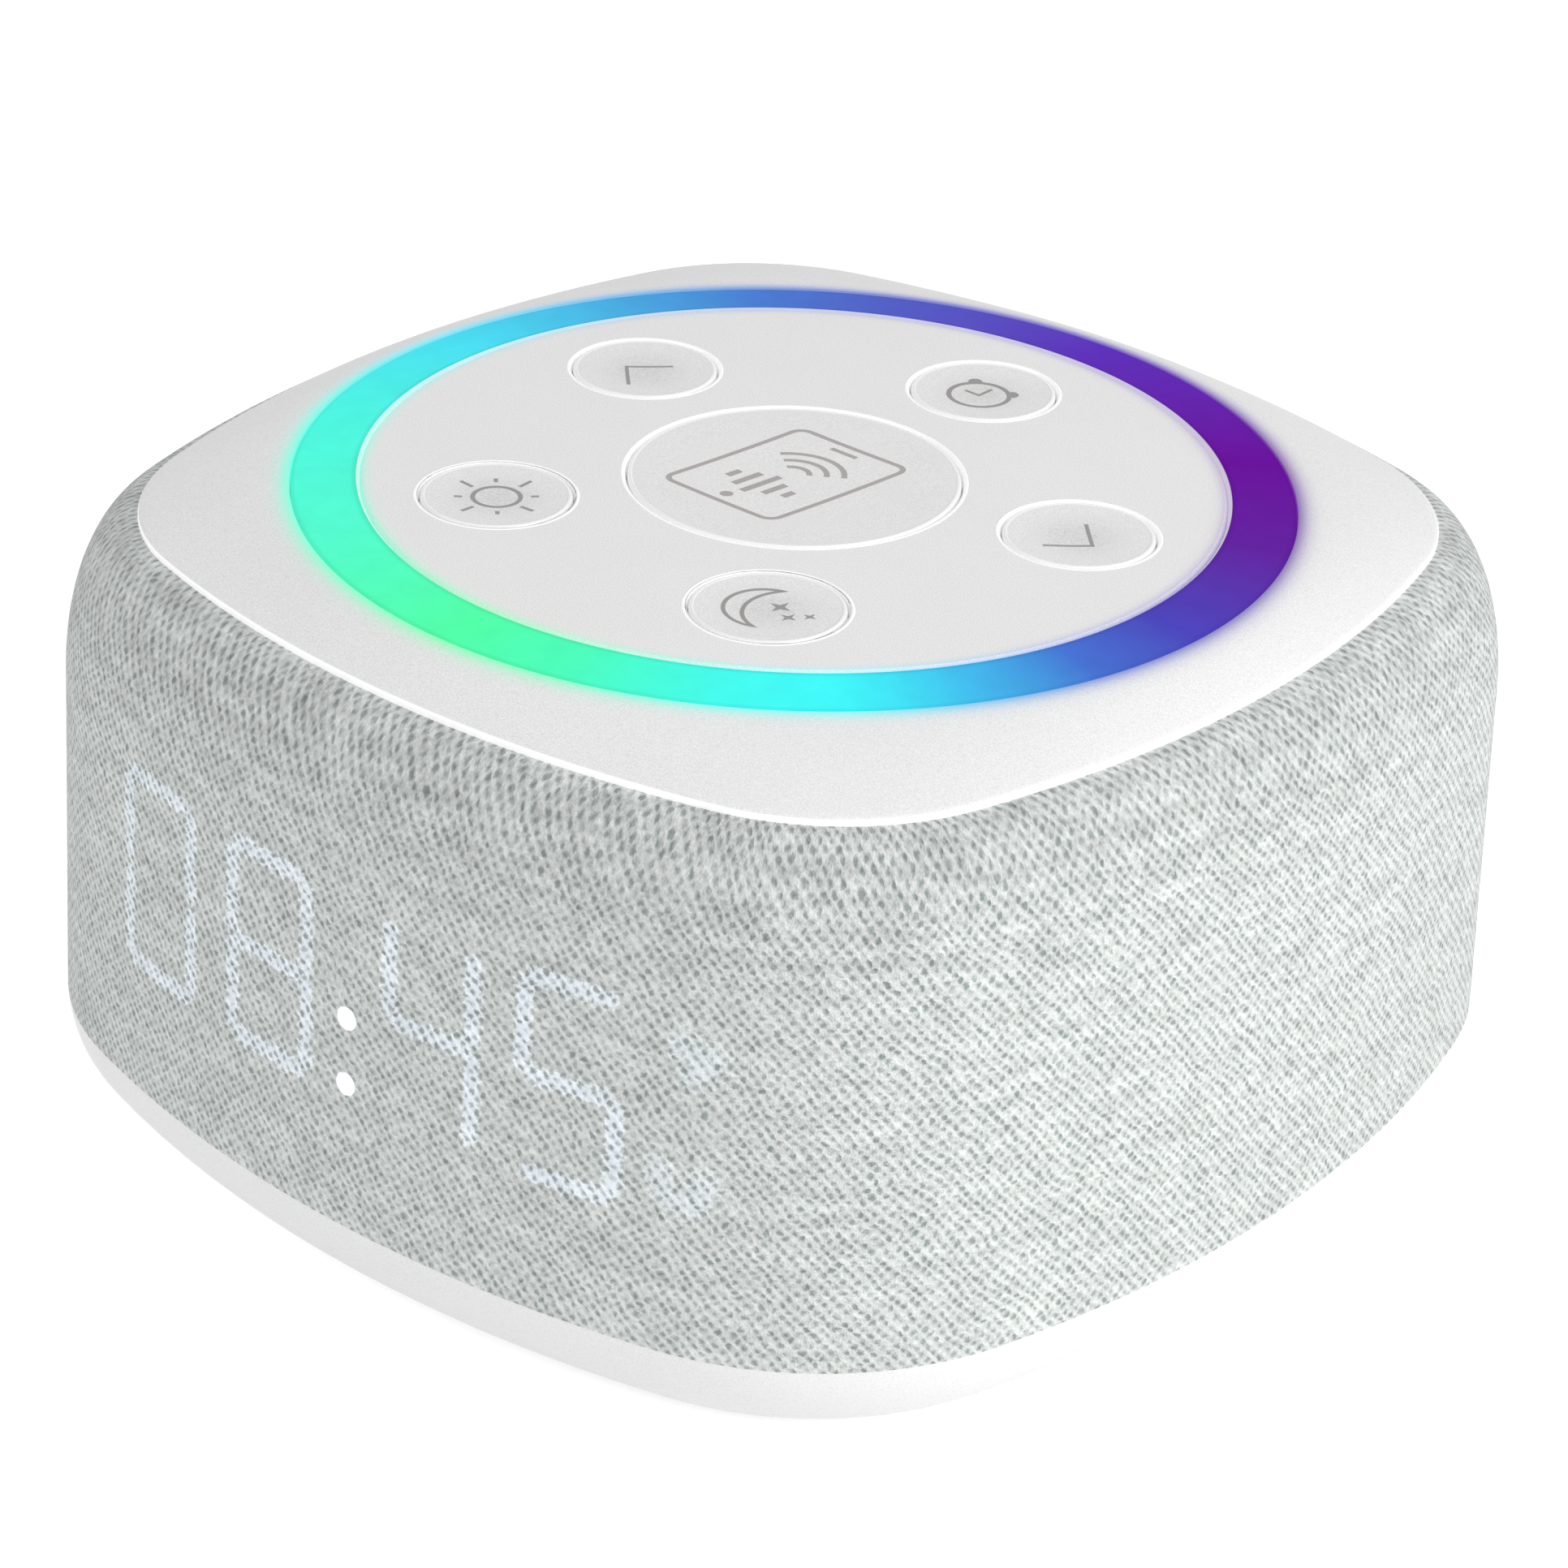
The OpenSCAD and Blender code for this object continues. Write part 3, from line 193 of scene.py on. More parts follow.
class Nodes:
    """Writes a node tree. Each method adds nodes and returns the last one's output socket."""

    def __init__(self, tree):
        self.tree = tree

    def put(self, socket, value):
        if isinstance(value, bpy.types.NodeSocket):
            self.tree.links.new(value, socket)
        else:
            socket.default_value = value

    def node(self, kind, inputs=None, **settings):
        made = self.tree.nodes.new(kind)
        for name, value in settings.items():
            setattr(made, name, value)
        for socket, value in (inputs or {}).items():
            self.put(made.inputs[socket], value)
        return made

    def math(self, operation, *values):
        return self.node("ShaderNodeMath", dict(enumerate(values)), operation=operation).outputs[0]

    def chain(self, operation, first, *others):
        """The operation on all the values, from left to right."""
        for other in others:
            first = self.math(operation, first, other)
        return first

    def hypotenuse(self, a, b):
        squares = self.math("ADD", self.math("MULTIPLY", a, a), self.math("MULTIPLY", b, b))
        return self.math("SQRT", squares)

    def vector(self, operation, *values):
        return self.node("ShaderNodeVectorMath", dict(enumerate(values)), operation=operation).outputs[0]

    def split(self, vector):
        return self.node("ShaderNodeSeparateXYZ", {0: vector}).outputs

    def join(self, x, y, z=0.0):
        return self.node("ShaderNodeCombineXYZ", {0: x, 1: y, 2: z}).outputs[0]

    def place(self):
        """The point in the object's frame, in millimetres."""
        coordinates = self.node("ShaderNodeTexCoord").outputs["Object"]
        return self.vector("MULTIPLY", coordinates, (1 / MM,) * 3)

    def attribute(self, name, output):
        return self.node("ShaderNodeAttribute", attribute_name=name).outputs[output]

    def noise(self, vector, size, detail=2.0, output="Fac"):
        """Noise whose features are about size units across."""
        inputs = {"Vector": vector, "Scale": 1 / size, "Detail": detail}
        return self.node("ShaderNodeTexNoise", inputs).outputs[output]

    def stretch(self, value, low, high, out_low=0.0, out_high=1.0, shape="LINEAR"):
        inputs = {"Value": value, "From Min": low, "From Max": high, "To Min": out_low, "To Max": out_high}
        return self.node("ShaderNodeMapRange", inputs, interpolation_type=shape).outputs[0]

    def smooth(self, value, low, high, out_low=0.0, out_high=1.0):
        return self.stretch(value, low, high, out_low, out_high, "SMOOTHSTEP")

    def spread(self, noise, low, high):
        """Noise, of which nearly all lies between 0.3 and 0.7, stretched to run from low to high."""
        return self.stretch(noise, 0.3, 0.7, low, high)

    def mix(self, factor, a, b):
        made = self.node("ShaderNodeMix", data_type="RGBA")
        self.put(made.inputs[0], factor)
        self.put(made.inputs[6], a)
        self.put(made.inputs[7], b)
        return made.outputs[2]

    def scaled(self, colour, factor):
        """The colour, darker or lighter by a factor."""
        made = self.node("ShaderNodeVectorMath", operation="SCALE")
        self.put(made.inputs[0], colour if isinstance(colour, bpy.types.NodeSocket) else colour[:3])
        self.put(made.inputs["Scale"], factor)
        return made.outputs[0]

    def ramp(self, factor, stops):
        made = self.node("ShaderNodeValToRGB", {0: factor})
        elements = made.color_ramp.elements
        while len(elements) < len(stops):
            elements.new(1.0)
        for element, (position, colour) in zip(elements, stops):
            element.position, element.color = position, colour
        return made.outputs[0]

    def bump(self, height, distance, strength=1.0):
        inputs = {"Height": height, "Distance": distance, "Strength": strength}
        return self.node("ShaderNodeBump", inputs).outputs[0]


class Shader(Nodes):
    """A new material's nodes, with its Principled shader."""

    def __init__(self, name):
        self.material = bpy.data.materials.new(name)
        self.material.use_nodes = True
        super().__init__(self.material.node_tree)
        self.bsdf = self.tree.nodes["Principled BSDF"]

    def set(self, **values):
        """Sets the Principled shader's inputs; underscores stand for spaces."""
        for name, value in values.items():
            self.put(self.bsdf.inputs[name.replace("_", " ")], value)

    def linked(self, name):
        """The output that feeds the Principled shader's input so far."""
        return self.bsdf.inputs[name].links[0].from_socket


# ---------- the ring's light ----------

# Colour of the light round the ring, by the angle from +X in degrees
RING_COLOURS = [
    (0, (78, 70, 188)), (25, (100, 36, 160)), (50, (106, 20, 156)), (88, (95, 50, 186)),
    (120, (84, 98, 198)), (136, (76, 126, 210)), (152, (75, 166, 224)), (178, (76, 222, 242)),
    (208, (79, 246, 224)), (240, (86, 251, 208)), (270, (84, 254, 168)), (286, (78, 252, 190)),
    (302, (70, 250, 236)), (316, (66, 248, 251)), (331, (68, 186, 238)), (345, (72, 114, 210)),
    (360, (78, 70, 188)),
]


def ring_light(shader, place):
    """The ring's colour at a point, and the point's distance from the axis in millimetres."""
    x, y, _ = shader.split(place)
    turn = shader.math("DIVIDE", shader.math("ARCTAN2", y, x), 2 * math.pi)
    turn = shader.math("FRACT", shader.math("ADD", turn, 1.0))
    colour = shader.ramp(turn, [(a / 360, srgb(*c)) for a, c in RING_COLOURS])
    return colour, shader.hypotenuse(x, y)


def ring_material():
    shader = Shader("ring_diffuser")
    place = shader.place()
    colour, radius = ring_light(shader, place)
    cloud = shader.spread(shader.noise(place, 2.5), 0.97, 1.03)
    # A pale line along the inner edge, a painted highlight of the panel's bevel, and a little less light
    # beside both edges
    first, last = RING_INNER_R / MM, DECK_HOLE_R / MM
    line = shader.smooth(radius, first + 0.24, first + 0.17)
    inner = shader.smooth(radius, first + 0.2, first + 0.8, 0.84, 1.0)
    outer = shader.smooth(radius, last - 0.1, last - 0.6, 0.88, 1.0)
    edges = shader.math("MAXIMUM", line, shader.math("MULTIPLY", inner, outer))
    colour = shader.mix(shader.math("MULTIPLY", line, 0.55), colour, WHITE)
    shader.set(
        Base_Color=shader.scaled(colour, 0.06),
        Roughness=0.45,
        Specular_IOR_Level=0.0,
        Emission_Color=shader.scaled(colour, shader.math("MULTIPLY", cloud, edges)),
        Emission_Strength=0.96,
        Normal=shader.bump(shader.noise(place, 0.3), 0.004 * MM, 0.3),
    )
    return shader.material


# ---------- plastics ----------

def plastic(name, colour, roughness=0.5, grain=0.02, grain_size=0.14, bump=0.008):
    """Moulded plastic: fine spark-eroded grain, with slow changes of tone over the surface."""
    shader = Shader(name)
    place = shader.place()
    fine = shader.noise(place, grain_size, 3.0)
    slow = shader.noise(place, 9.0)
    tone = shader.math("ADD", shader.stretch(fine, 0.25, 0.75, 1 - grain, 1 + grain),
                       shader.spread(slow, -0.008, 0.008))
    shader.set(
        Base_Color=shader.scaled(srgb(*colour), tone),
        Roughness=shader.spread(fine, roughness - 0.05, roughness + 0.05),
        Normal=shader.bump(fine, bump * MM),
    )
    return shader


def polished_white(name, glow=0.0):
    """Glossy white of the narrow trims round the buttons; a glow above 0 paints a highlight on them as light
    they give off.
    """
    shader = plastic(name, (254, 254, 254), roughness=0.25, grain=0.01, bump=0.002)
    shader.set(Coat_Weight=1.0, Coat_Roughness=0.15, Emission_Color=WHITE, Emission_Strength=glow)
    return shader.material


def button_white():
    """White of the buttons, with painted shade, darker and coarser, in the dish of each small one."""
    shader = plastic("button_white", (247, 246, 246), grain=0.15)
    place = shader.place()
    x, y, _ = shader.split(place)
    radius = shader.hypotenuse(x, y)
    # The angle from the nearest small button, from the share of the way between two of them
    sector = 2 * math.pi / len(KEY_ANGLES)
    first = math.radians(KEY_ANGLES["next"]) / sector
    turn = shader.math("DIVIDE", shader.math("ARCTAN2", y, x), sector)
    turn = shader.math("FRACT", shader.math("ADD", turn, len(KEY_ANGLES) + 0.5 - first))
    turn = shader.math("MULTIPLY", shader.math("SUBTRACT", turn, 0.5), sector)
    outward = shader.math("MULTIPLY", radius, shader.math("COSINE", turn))
    outward = shader.math("SUBTRACT", outward, KEY_PITCH_R / MM)
    aside = shader.math("MULTIPLY", radius, shader.math("SINE", turn))
    # Painted shade in the dish of each small button, darker in speckles towards its middle.
    dish_shade = shader.smooth(shader.hypotenuse(outward, aside), 5.2, 0.5)
    speckle = shader.spread(shader.noise(place, 0.16, 2.0), 0.2, 1.8)
    shade = shader.math("SUBTRACT", 1.0, shader.chain("MULTIPLY", dish_shade, speckle, 0.13))
    shader.set(Base_Color=shader.scaled(shader.linked("Base Color"), shade))
    return shader.material


def glow_beside_ring(shader, edge, width, outward, most):
    """Lets the ring's light bleed into the plastic beside it: outward of the edge, or inward."""
    place = shader.place()
    colour, radius = ring_light(shader, place)
    away = shader.math("SUBTRACT", radius, edge / MM)
    if not outward:
        away = shader.math("MULTIPLY", away, -1.0)
    away = shader.math("MAXIMUM", shader.math("DIVIDE", away, width), 0.0)
    fade = shader.math("EXPONENT", shader.math("MULTIPLY", shader.math("POWER", away, 1.6), -1.0))
    near_top = shader.smooth(shader.split(place)[2], TOP_Z / MM - 1.8, TOP_Z / MM - 1.0)
    share = shader.chain("MULTIPLY", most, fade, near_top)
    shader.set(
        Base_Color=shader.mix(share, shader.linked("Base Color"), BLACK),
        Emission_Color=colour,
        Emission_Strength=share,
    )


def panel_white():
    """White of the button panel, with the ring's light along its edge."""
    shader = plastic("panel_white", (250, 249, 249), grain=0.15)
    glow_beside_ring(shader, RING_INNER_R, 0.7, outward=False, most=0.5)
    return shader.material


def deck_white():
    """White of the deck, with a painted highlight on its glossier edge, and the ring's light beside its hole.
    """
    shader = plastic("deck_white", (247, 247, 247), grain=0.14)
    upright = shader.split(shader.node("ShaderNodeNewGeometry").outputs["Normal"])[2]
    x, y, _ = shader.split(shader.place())
    beyond_hole = shader.smooth(shader.hypotenuse(x, y), 43, 44)
    # Painted highlight: the sloping edge is whiter and glossier, and it gives off a little white light.
    edge = shader.math("MULTIPLY", shader.smooth(upright, 0.72, 0.5), beyond_hole)
    shader.set(
        Base_Color=shader.mix(edge, shader.linked("Base Color"), WHITE),
        Roughness=shader.stretch(edge, 0, 1, 0.5, 0.15),
    )
    glow_beside_ring(shader, DECK_HOLE_R, 1.0, outward=True, most=0.82)
    edge_highlight_glow = shader.math("MULTIPLY", edge, 0.25)
    shader.set(
        Emission_Color=shader.mix(edge, shader.linked("Emission Color"), WHITE),
        Emission_Strength=shader.math("MAXIMUM", shader.linked("Emission Strength"), edge_highlight_glow),
    )
    return shader.material


# ---------- knitted fabric ----------

def fabric_material():
    """Polyester mesh knit: holes along slanting grooves, slubs along the yarn, and the clock's light."""
    shader = Shader("knit_fabric")
    cloth = shader.attribute("cloth", "Vector")
    u, v, _ = shader.split(cloth)
    high = shader.smooth(shader.split(shader.place())[2], SHOULDER_Z / MM - 1, FABRIC_TOP_Z / MM)

    # The knit's repeat, pulled out of line a little
    moved = cloth
    for size, reach in KNIT_DRIFTS:
        drift = shader.vector("SUBTRACT", shader.noise(cloth, size, 2.0, "Color"), (0.5, 0.5, 0.5))
        moved = shader.vector("ADD", moved, shader.scaled(drift, reach))
    right, up, _ = shader.split(moved)
    across = shader.math("SUBTRACT", right, shader.math("MULTIPLY", up, KNIT_LEAN))
    across = shader.math("DIVIDE", across, KNIT_W / MM)
    along = shader.math("DIVIDE", up, KNIT_H / MM)

    def rows(operation):
        """1 along the middle of each slanting row, falling to 0 half way to the next."""
        turn = shader.math("MULTIPLY", 2 * math.pi, shader.math(operation, across, along))
        return shader.stretch(shader.math("COSINE", turn), -1, 1)

    # Slubs, which are streaks along the yarn, and the courses, which are streaks along the rows
    down = shader.math(
        "SUBTRACT", shader.math("MULTIPLY", u, SLUB_RIGHT), shader.math("MULTIPLY", v, SLUB_DOWN))
    over = shader.math(
        "ADD", shader.math("MULTIPLY", u, SLUB_DOWN), shader.math("MULTIPLY", v, SLUB_RIGHT))
    slub = shader.join(shader.math("DIVIDE", down, 5.0), shader.math("DIVIDE", over, 0.9))
    slub = shader.smooth(shader.noise(slub, 1.0, 2.0), 0.42, 0.68)
    course = shader.join(shader.math("DIVIDE", u, 7.0), shader.math("DIVIDE", v, 1.2))
    course = shader.spread(shader.noise(course, 1.0, 3.0), -1.0, 1.0)

    # Grooves run down to the right, and the holes are the deep places along them, shallower under a slub
    groove = rows("ADD")
    spots = shader.stretch(rows("SUBTRACT"), 0, 1, 0.34, 1.1)
    uneven = shader.spread(shader.noise(cloth, 0.9, 1.0), 0.45, 1.45)
    hole = shader.smooth(shader.chain("MULTIPLY", groove, spots, uneven), -0.1, 1.25)
    hole = shader.math("MULTIPLY", hole, shader.stretch(slub, 0, 1, 1.0, 0.75))

    # Yarn: fuzz, loops that stand out, paler slubs and courses, and slow changes of tone
    fuzz = shader.noise(cloth, 0.16, 3.0)
    loops = shader.noise(cloth, 0.45, 1.0)
    tone = shader.chain(
        "ADD",
        shader.stretch(fuzz, 0.25, 0.75, 0.86, 1.1),
        shader.stretch(slub, 0, 1, -0.02, 0.03),
        shader.spread(loops, -0.12, 0.12),
        shader.spread(shader.noise(cloth, 2.0), -0.05, 0.05),
        shader.math("MULTIPLY", course, 0.11),
    )
    # Painted shade: the yarn is darker over the shoulder, under the deck's edge.
    tone = shader.math("SUBTRACT", tone, shader.math("MULTIPLY", high, 0.16))
    yarn = shader.scaled(srgb(243, 247, 245), tone)
    # The holes' darker colour is painted shade: the dim inside seen through the knit.
    knit = shader.mix(hole, yarn, shader.scaled(srgb(158, 170, 166), tone))

    # The clock behind it: strokes with ragged edges, blurred patches and the colon's round dots
    ragged = shader.math("ADD", shader.spread(loops, 0.3, -0.3), shader.stretch(hole, 0, 1, -0.15, 0.35))
    stroke = shader.math("ADD", shader.attribute("stroke", "Fac"), ragged)
    patch = shader.math("ADD", shader.attribute("patch", "Fac"), shader.math("MULTIPLY", ragged, 1.5))
    dot = shader.smooth(shader.attribute("dot", "Fac"), 0.08, -0.06)
    lit = shader.math("MAXIMUM", shader.smooth(stroke, 0.4, -0.1), shader.smooth(patch, 1.3, -0.3, 0.0, 0.6))
    lit_knit = shader.mix(hole, shader.scaled(srgb(248, 252, 255), tone), srgb(168, 182, 190))
    base = shader.mix(shader.math("MULTIPLY", lit, 0.85), knit, lit_knit)
    glow = shader.math("MULTIPLY", lit, shader.stretch(hole, 0, 1, 0.24, 0.0))
    shader.set(
        Base_Color=shader.mix(dot, base, WHITE),
        Roughness=0.9,
        Specular_IOR_Level=0.2,
        Sheen_Weight=0.35,
        Sheen_Roughness=0.4,
        Emission_Color=srgb(218, 234, 252),
        Emission_Strength=shader.math("MAXIMUM", glow, shader.math("MULTIPLY", dot, 0.6)),
        Normal=shader.bump(shader.math("SUBTRACT", shader.math("ADD", loops, fuzz), hole), 0.12 * MM),
    )
    return shader.material


# ---------- other materials ----------

def metal(name, colour, roughness=0.3, grain_size=0.4, streak=(1, 1, 1)):
    """Rolled or turned metal. A streak factor under 1 draws the grain out along its axis."""
    shader = Shader(name)
    place = shader.vector("MULTIPLY", shader.place(), streak)
    fine = shader.noise(place, grain_size, 3.0)
    shader.set(
        Base_Color=shader.scaled(srgb(*colour), shader.spread(fine, 0.94, 1.05)),
        Metallic=1.0,
        Roughness=shader.spread(fine, roughness - 0.06, roughness + 0.08),
        Normal=shader.bump(fine, 0.004 * MM),
    )
    return shader.material


def circuit_board():
    """Solder mask with copper traces that show through as paler lines."""
    shader = Shader("circuit_board")
    place = shader.place()
    x, y, _ = shader.split(place)
    ways = [shader.math("ABSOLUTE", shader.math("SINE", shader.math("MULTIPLY", axis, math.pi / pitch)))
            for axis, pitch in ((x, 1.6), (y, 2.4))]
    patch = shader.noise(place, 4.0, 1.0)
    line = shader.smooth(shader.mix(shader.smooth(patch, 0.47, 0.53), *ways), 0.2, 0.1)
    shader.set(
        Base_Color=shader.mix(line, srgb(28, 92, 58), srgb(48, 124, 80)),
        Roughness=0.35,
        Normal=shader.bump(line, 0.03 * MM),
    )
    return shader.material


def woven(name, dark, light, pitch):
    """Plain weave on a small soft part; the pitch is in millimetres."""
    shader = Shader(name)
    x, y, _ = shader.split(shader.place())
    over = shader.math("SINE", shader.math("MULTIPLY", x, 2 * math.pi / pitch))
    under = shader.math("SINE", shader.math("MULTIPLY", y, 2 * math.pi / pitch))
    weave = shader.stretch(shader.math("MULTIPLY", over, under), -1, 1)
    shader.set(
        Base_Color=shader.mix(weave, srgb(*dark), srgb(*light)),
        Roughness=0.85,
        Sheen_Weight=0.2,
        Normal=shader.bump(weave, 0.05 * MM),
    )
    return shader.material


def lens_material():
    """Clear tinted plastic of the clock's segments, lit from behind."""
    shader = Shader("segment_lens")
    place = shader.place()
    cloud = shader.noise(place, 1.2)
    shader.set(
        Base_Color=shader.scaled(srgb(214, 232, 240), shader.spread(cloud, 0.96, 1.03)),
        Roughness=0.2,
        Emission_Color=srgb(214, 230, 250),
        Emission_Strength=0.25,
        Normal=shader.bump(cloud, 0.01 * MM),
    )
    return shader.material


# Colour levels and other settings of the plain plastics and metals, by material slot
PLASTICS = {
    "shell_white": dict(colour=(254, 254, 254), grain=0.12),
    "frame_plastic": dict(colour=(218, 220, 219), roughness=0.55),
    "display_white": dict(colour=(232, 233, 232), roughness=0.6),
    "foot_rubber": dict(colour=(74, 75, 77), roughness=0.8, grain=0.08, bump=0.02),
    "gasket_foam": dict(colour=(62, 62, 64), roughness=0.95, grain=0.2, grain_size=0.5, bump=0.1),
    "surround_rubber": dict(colour=(38, 38, 40), roughness=0.6, grain=0.05),
    "magnet_ferrite": dict(colour=(58, 57, 58), roughness=0.55, grain=0.12, grain_size=0.3, bump=0.03),
    "cone_paper": dict(colour=(46, 45, 46), roughness=0.9, grain=0.18, grain_size=0.6, bump=0.06),
    "led_package": dict(colour=(246, 242, 214), roughness=0.4),
    "switch_plastic": dict(colour=(52, 53, 55)),
    "chip_black": dict(colour=(36, 36, 38), roughness=0.55, grain=0.06),
    "socket_ivory": dict(colour=(232, 226, 206)),
    "ribbon_ivory": dict(colour=(226, 222, 208), roughness=0.6),
    "lead_insulation": dict(colour=(176, 44, 40), roughness=0.45),
}
METALS = {
    "screw_steel": dict(colour=(196, 198, 200), roughness=0.32),
    "zinc_steel": dict(colour=(188, 190, 186), roughness=0.4, grain_size=1.2),
    "inlet_steel": dict(colour=(206, 207, 208), roughness=0.22, grain_size=0.5, streak=(1, 0.2, 1)),
    "basket_steel": dict(colour=(150, 152, 154), roughness=0.45, grain_size=0.8),
    "coil_copper": dict(colour=(206, 128, 82), grain_size=0.3, streak=(1, 1, 6)),
    "can_aluminium": dict(colour=(200, 202, 205), grain_size=0.5),
}


def make_materials():
    """One material for each material slot of the record."""
    made = {
        "knit_fabric": fabric_material(),
        "panel_white": panel_white(),
        "button_white": button_white(),
        "ring_diffuser": ring_material(),
        "segment_lens": lens_material(),
        "spider_cloth": woven("spider_cloth", (188, 132, 60), (222, 172, 96), pitch=0.9),
        "circuit_board": circuit_board(),
    }
    made.update({name: plastic(name, **look).material for name, look in PLASTICS.items()})
    made.update({name: metal(name, **look) for name, look in METALS.items()})
    for part in frame["record"]["subparts"]:
        paint(nodes[part["node"]], made[part["material_slot"]])
    return made


def paint(piece, material):
    """Gives the whole piece one material."""
    if not piece.material_slots:
        piece.data.materials.append(material)
    for held in piece.material_slots:
        held.material = material


def icon_material(name, colour):
    """Grey print on the buttons."""
    shader = Shader(name)
    place = shader.place()
    speckle = shader.noise(place, 0.12, 2.0)
    shader.set(
        Base_Color=shader.scaled(srgb(*colour), shader.spread(speckle, 0.95, 1.06)),
        Roughness=0.6,
        Normal=shader.bump(speckle, 0.003 * MM),
    )
    return shader.material


# ---------- mesh tools ----------

def unit(degrees):
    """Unit vector in a plane, by its angle from the first axis."""
    return np.array([math.cos(math.radians(degrees)), math.sin(math.radians(degrees))])


def mesh_piece(name, points, faces, body, material, sharp_angle=40):
    """A piece with smooth faces that turn sharp where they meet at more than the angle."""
    mesh = bpy.data.meshes.new(name)
    mesh.from_pydata(points, [], faces)
    mesh.shade_smooth()
    mesh.set_sharp_from_angle(angle=math.radians(sharp_angle))
    piece = bpy.data.objects.new(name, mesh)
    bpy.context.scene.collection.objects.link(piece)
    paint(piece, material)
    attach(piece, body)
    return piece


def loop_faces(rows, columns):
    """Quads between neighbouring rows of a closed tube; the last row joins the first."""
    row, column = np.meshgrid(np.arange(rows), np.arange(columns), indexing="ij")
    next_row, next_column = (row + 1) % rows, (column + 1) % columns
    corners = [(row, column), (row, next_column), (next_row, next_column), (next_row, column)]
    return np.stack([r * columns + c for r, c in corners], -1).reshape(-1, 4)


def outline_r(inset, angle):
    """Distance from the axis to the outline that lies inset inside the widest one."""
    quarter = math.pi / 2
    q = quarter / 2 - np.abs(np.mod(angle, quarter) - quarter / 2)
    side, corner = SIDE_R - inset, CORNER_R - inset
    tangent = math.atan2(side * SIDE_SIN, SIDE_CENTRE + side * SIDE_COS)
    on_side = SIDE_CENTRE * np.cos(q) + np.sqrt(side ** 2 - (SIDE_CENTRE * np.sin(q)) ** 2)
    off = CORNER_CENTRE * (np.cos(q) - np.sin(q))
    on_corner = CORNER_CENTRE * (np.cos(q) + np.sin(q)) + np.sqrt(corner ** 2 - off ** 2)
    return np.where(q < tangent, on_side, on_corner)


# ---------- fabric cover ----------

def outline_columns(spacing):
    """Columns round the outline from the middle of the back, and the outline's length.

    For each column: its arc's centre and radius, its angle, and the length of the outline up to it."""
    tangent = math.asin(SIDE_SIN)
    centres, radii, angles, lengths = [], [], [], []
    so_far = 0.0
    for side in range(4):
        first = math.pi / 2 * (side + 1)
        last = first + math.pi / 2
        arcs = [
            (SIDE_CENTRE, first, SIDE_R, first, first + tangent),
            (CORNER_CENTRE * math.sqrt(2), first + math.pi / 4, CORNER_R, first + tangent, last - tangent),
            (SIDE_CENTRE, last, SIDE_R, last - tangent, last),
        ]
        for reach, heading, radius, start, end in arcs:
            length = radius * (end - start)
            count = round(length / spacing)
            for i in range(count):
                centres.append((reach * math.cos(heading), reach * math.sin(heading)))
                radii.append(radius)
                angles.append(start + (end - start) * i / count)
                lengths.append(so_far + length * i / count)
            so_far += length
    return np.array(centres), np.array(radii), np.array(angles), np.array(lengths), so_far


def wall_path(depth, rows):
    """The fabric's section from the seam up to the tuck, depth inside its face: insets and heights."""
    wall_rows, shoulder_rows = rows
    rise = np.linspace(0, 1, wall_rows + 1)[:-1]
    turn = np.linspace(0, math.pi / 2, shoulder_rows + 1)
    shoulder_w, shoulder_h = DECK_INSET - WALL_DRAFT - depth, FABRIC_TOP_Z - SHOULDER_Z - depth
    insets = [depth + WALL_DRAFT * rise, depth + WALL_DRAFT + shoulder_w * (1 - np.cos(turn)),
              [DECK_INSET + FABRIC_TUCK]]
    heights = [SEAM_Z + (SHOULDER_Z - SEAM_Z) * rise, SHOULDER_Z + shoulder_h * np.sin(turn),
               [FABRIC_TOP_Z - depth]]
    return np.concatenate(insets), np.concatenate(heights)


def lit_strokes():
    """Centre lines of the clock's lit strokes on the XZ plane."""
    dark = {
        "0": {"middle"}, "8": set(), "4": {"top", "bottom", "low_left"}, "5": {"low_left", "high_right"},
    }
    h = (DIGIT_H - STROKE_W) / 2
    for centre, width, digit in zip(DIGIT_XS, DIGIT_WS, TIME_SHOWN):
        w = (width - STROKE_W) / 2
        strokes = {
            "bottom": ((-w, -h), (w, -h)), "middle": ((-w, 0), (w, 0)), "top": ((-w, h), (w, h)),
            "low_left": ((-w, -h), (-w, 0)), "high_left": ((-w, 0), (-w, h)),
            "low_right": ((w, -h), (w, 0)), "high_right": ((w, 0), (w, h)),
        }
        for name, ends in strokes.items():
            if name not in dark[digit]:
                yield [np.array(end) + (centre, DIGIT_Z) for end in ends]


def distance_to(points, a, b):
    """Distance of each point of a plane from the line between a and b."""
    share = np.clip((points - a) @ (b - a) / ((b - a) @ (b - a)), 0, 1)
    return np.linalg.norm(points - a - share[:, None] * (b - a), axis=1)


def clock_distances(points):
    """Each point's distances to the edges of the lit strokes, dots and indicators, in millimetres."""
    flat = points[:, [0, 2]]
    marks = {name: np.full(len(points), FAR_MM) for name in ("stroke", "dot", "patch")}

    def add(name, distance, half_width):
        marks[name] = np.minimum(marks[name], (distance - half_width) / MM)

    for a, b in lit_strokes():
        cut = (b - a) / np.linalg.norm(b - a) * STROKE_CUT
        add("stroke", distance_to(flat, a + cut, b - cut), STROKE_W / 2)
    for z in COLON_ZS:
        add("dot", np.linalg.norm(flat - (COLON_X, z), axis=1), DOT_R)
    for mark in INDICATOR_MARKS:
        mark = np.array(mark) * MM
        for a, b in zip(mark, mark[1:]):
            add("patch", distance_to(flat, a, b), INDICATOR_W / 2)
    behind = points[:, 1] > 0
    for distances in marks.values():
        distances[behind] = FAR_MM
    return marks


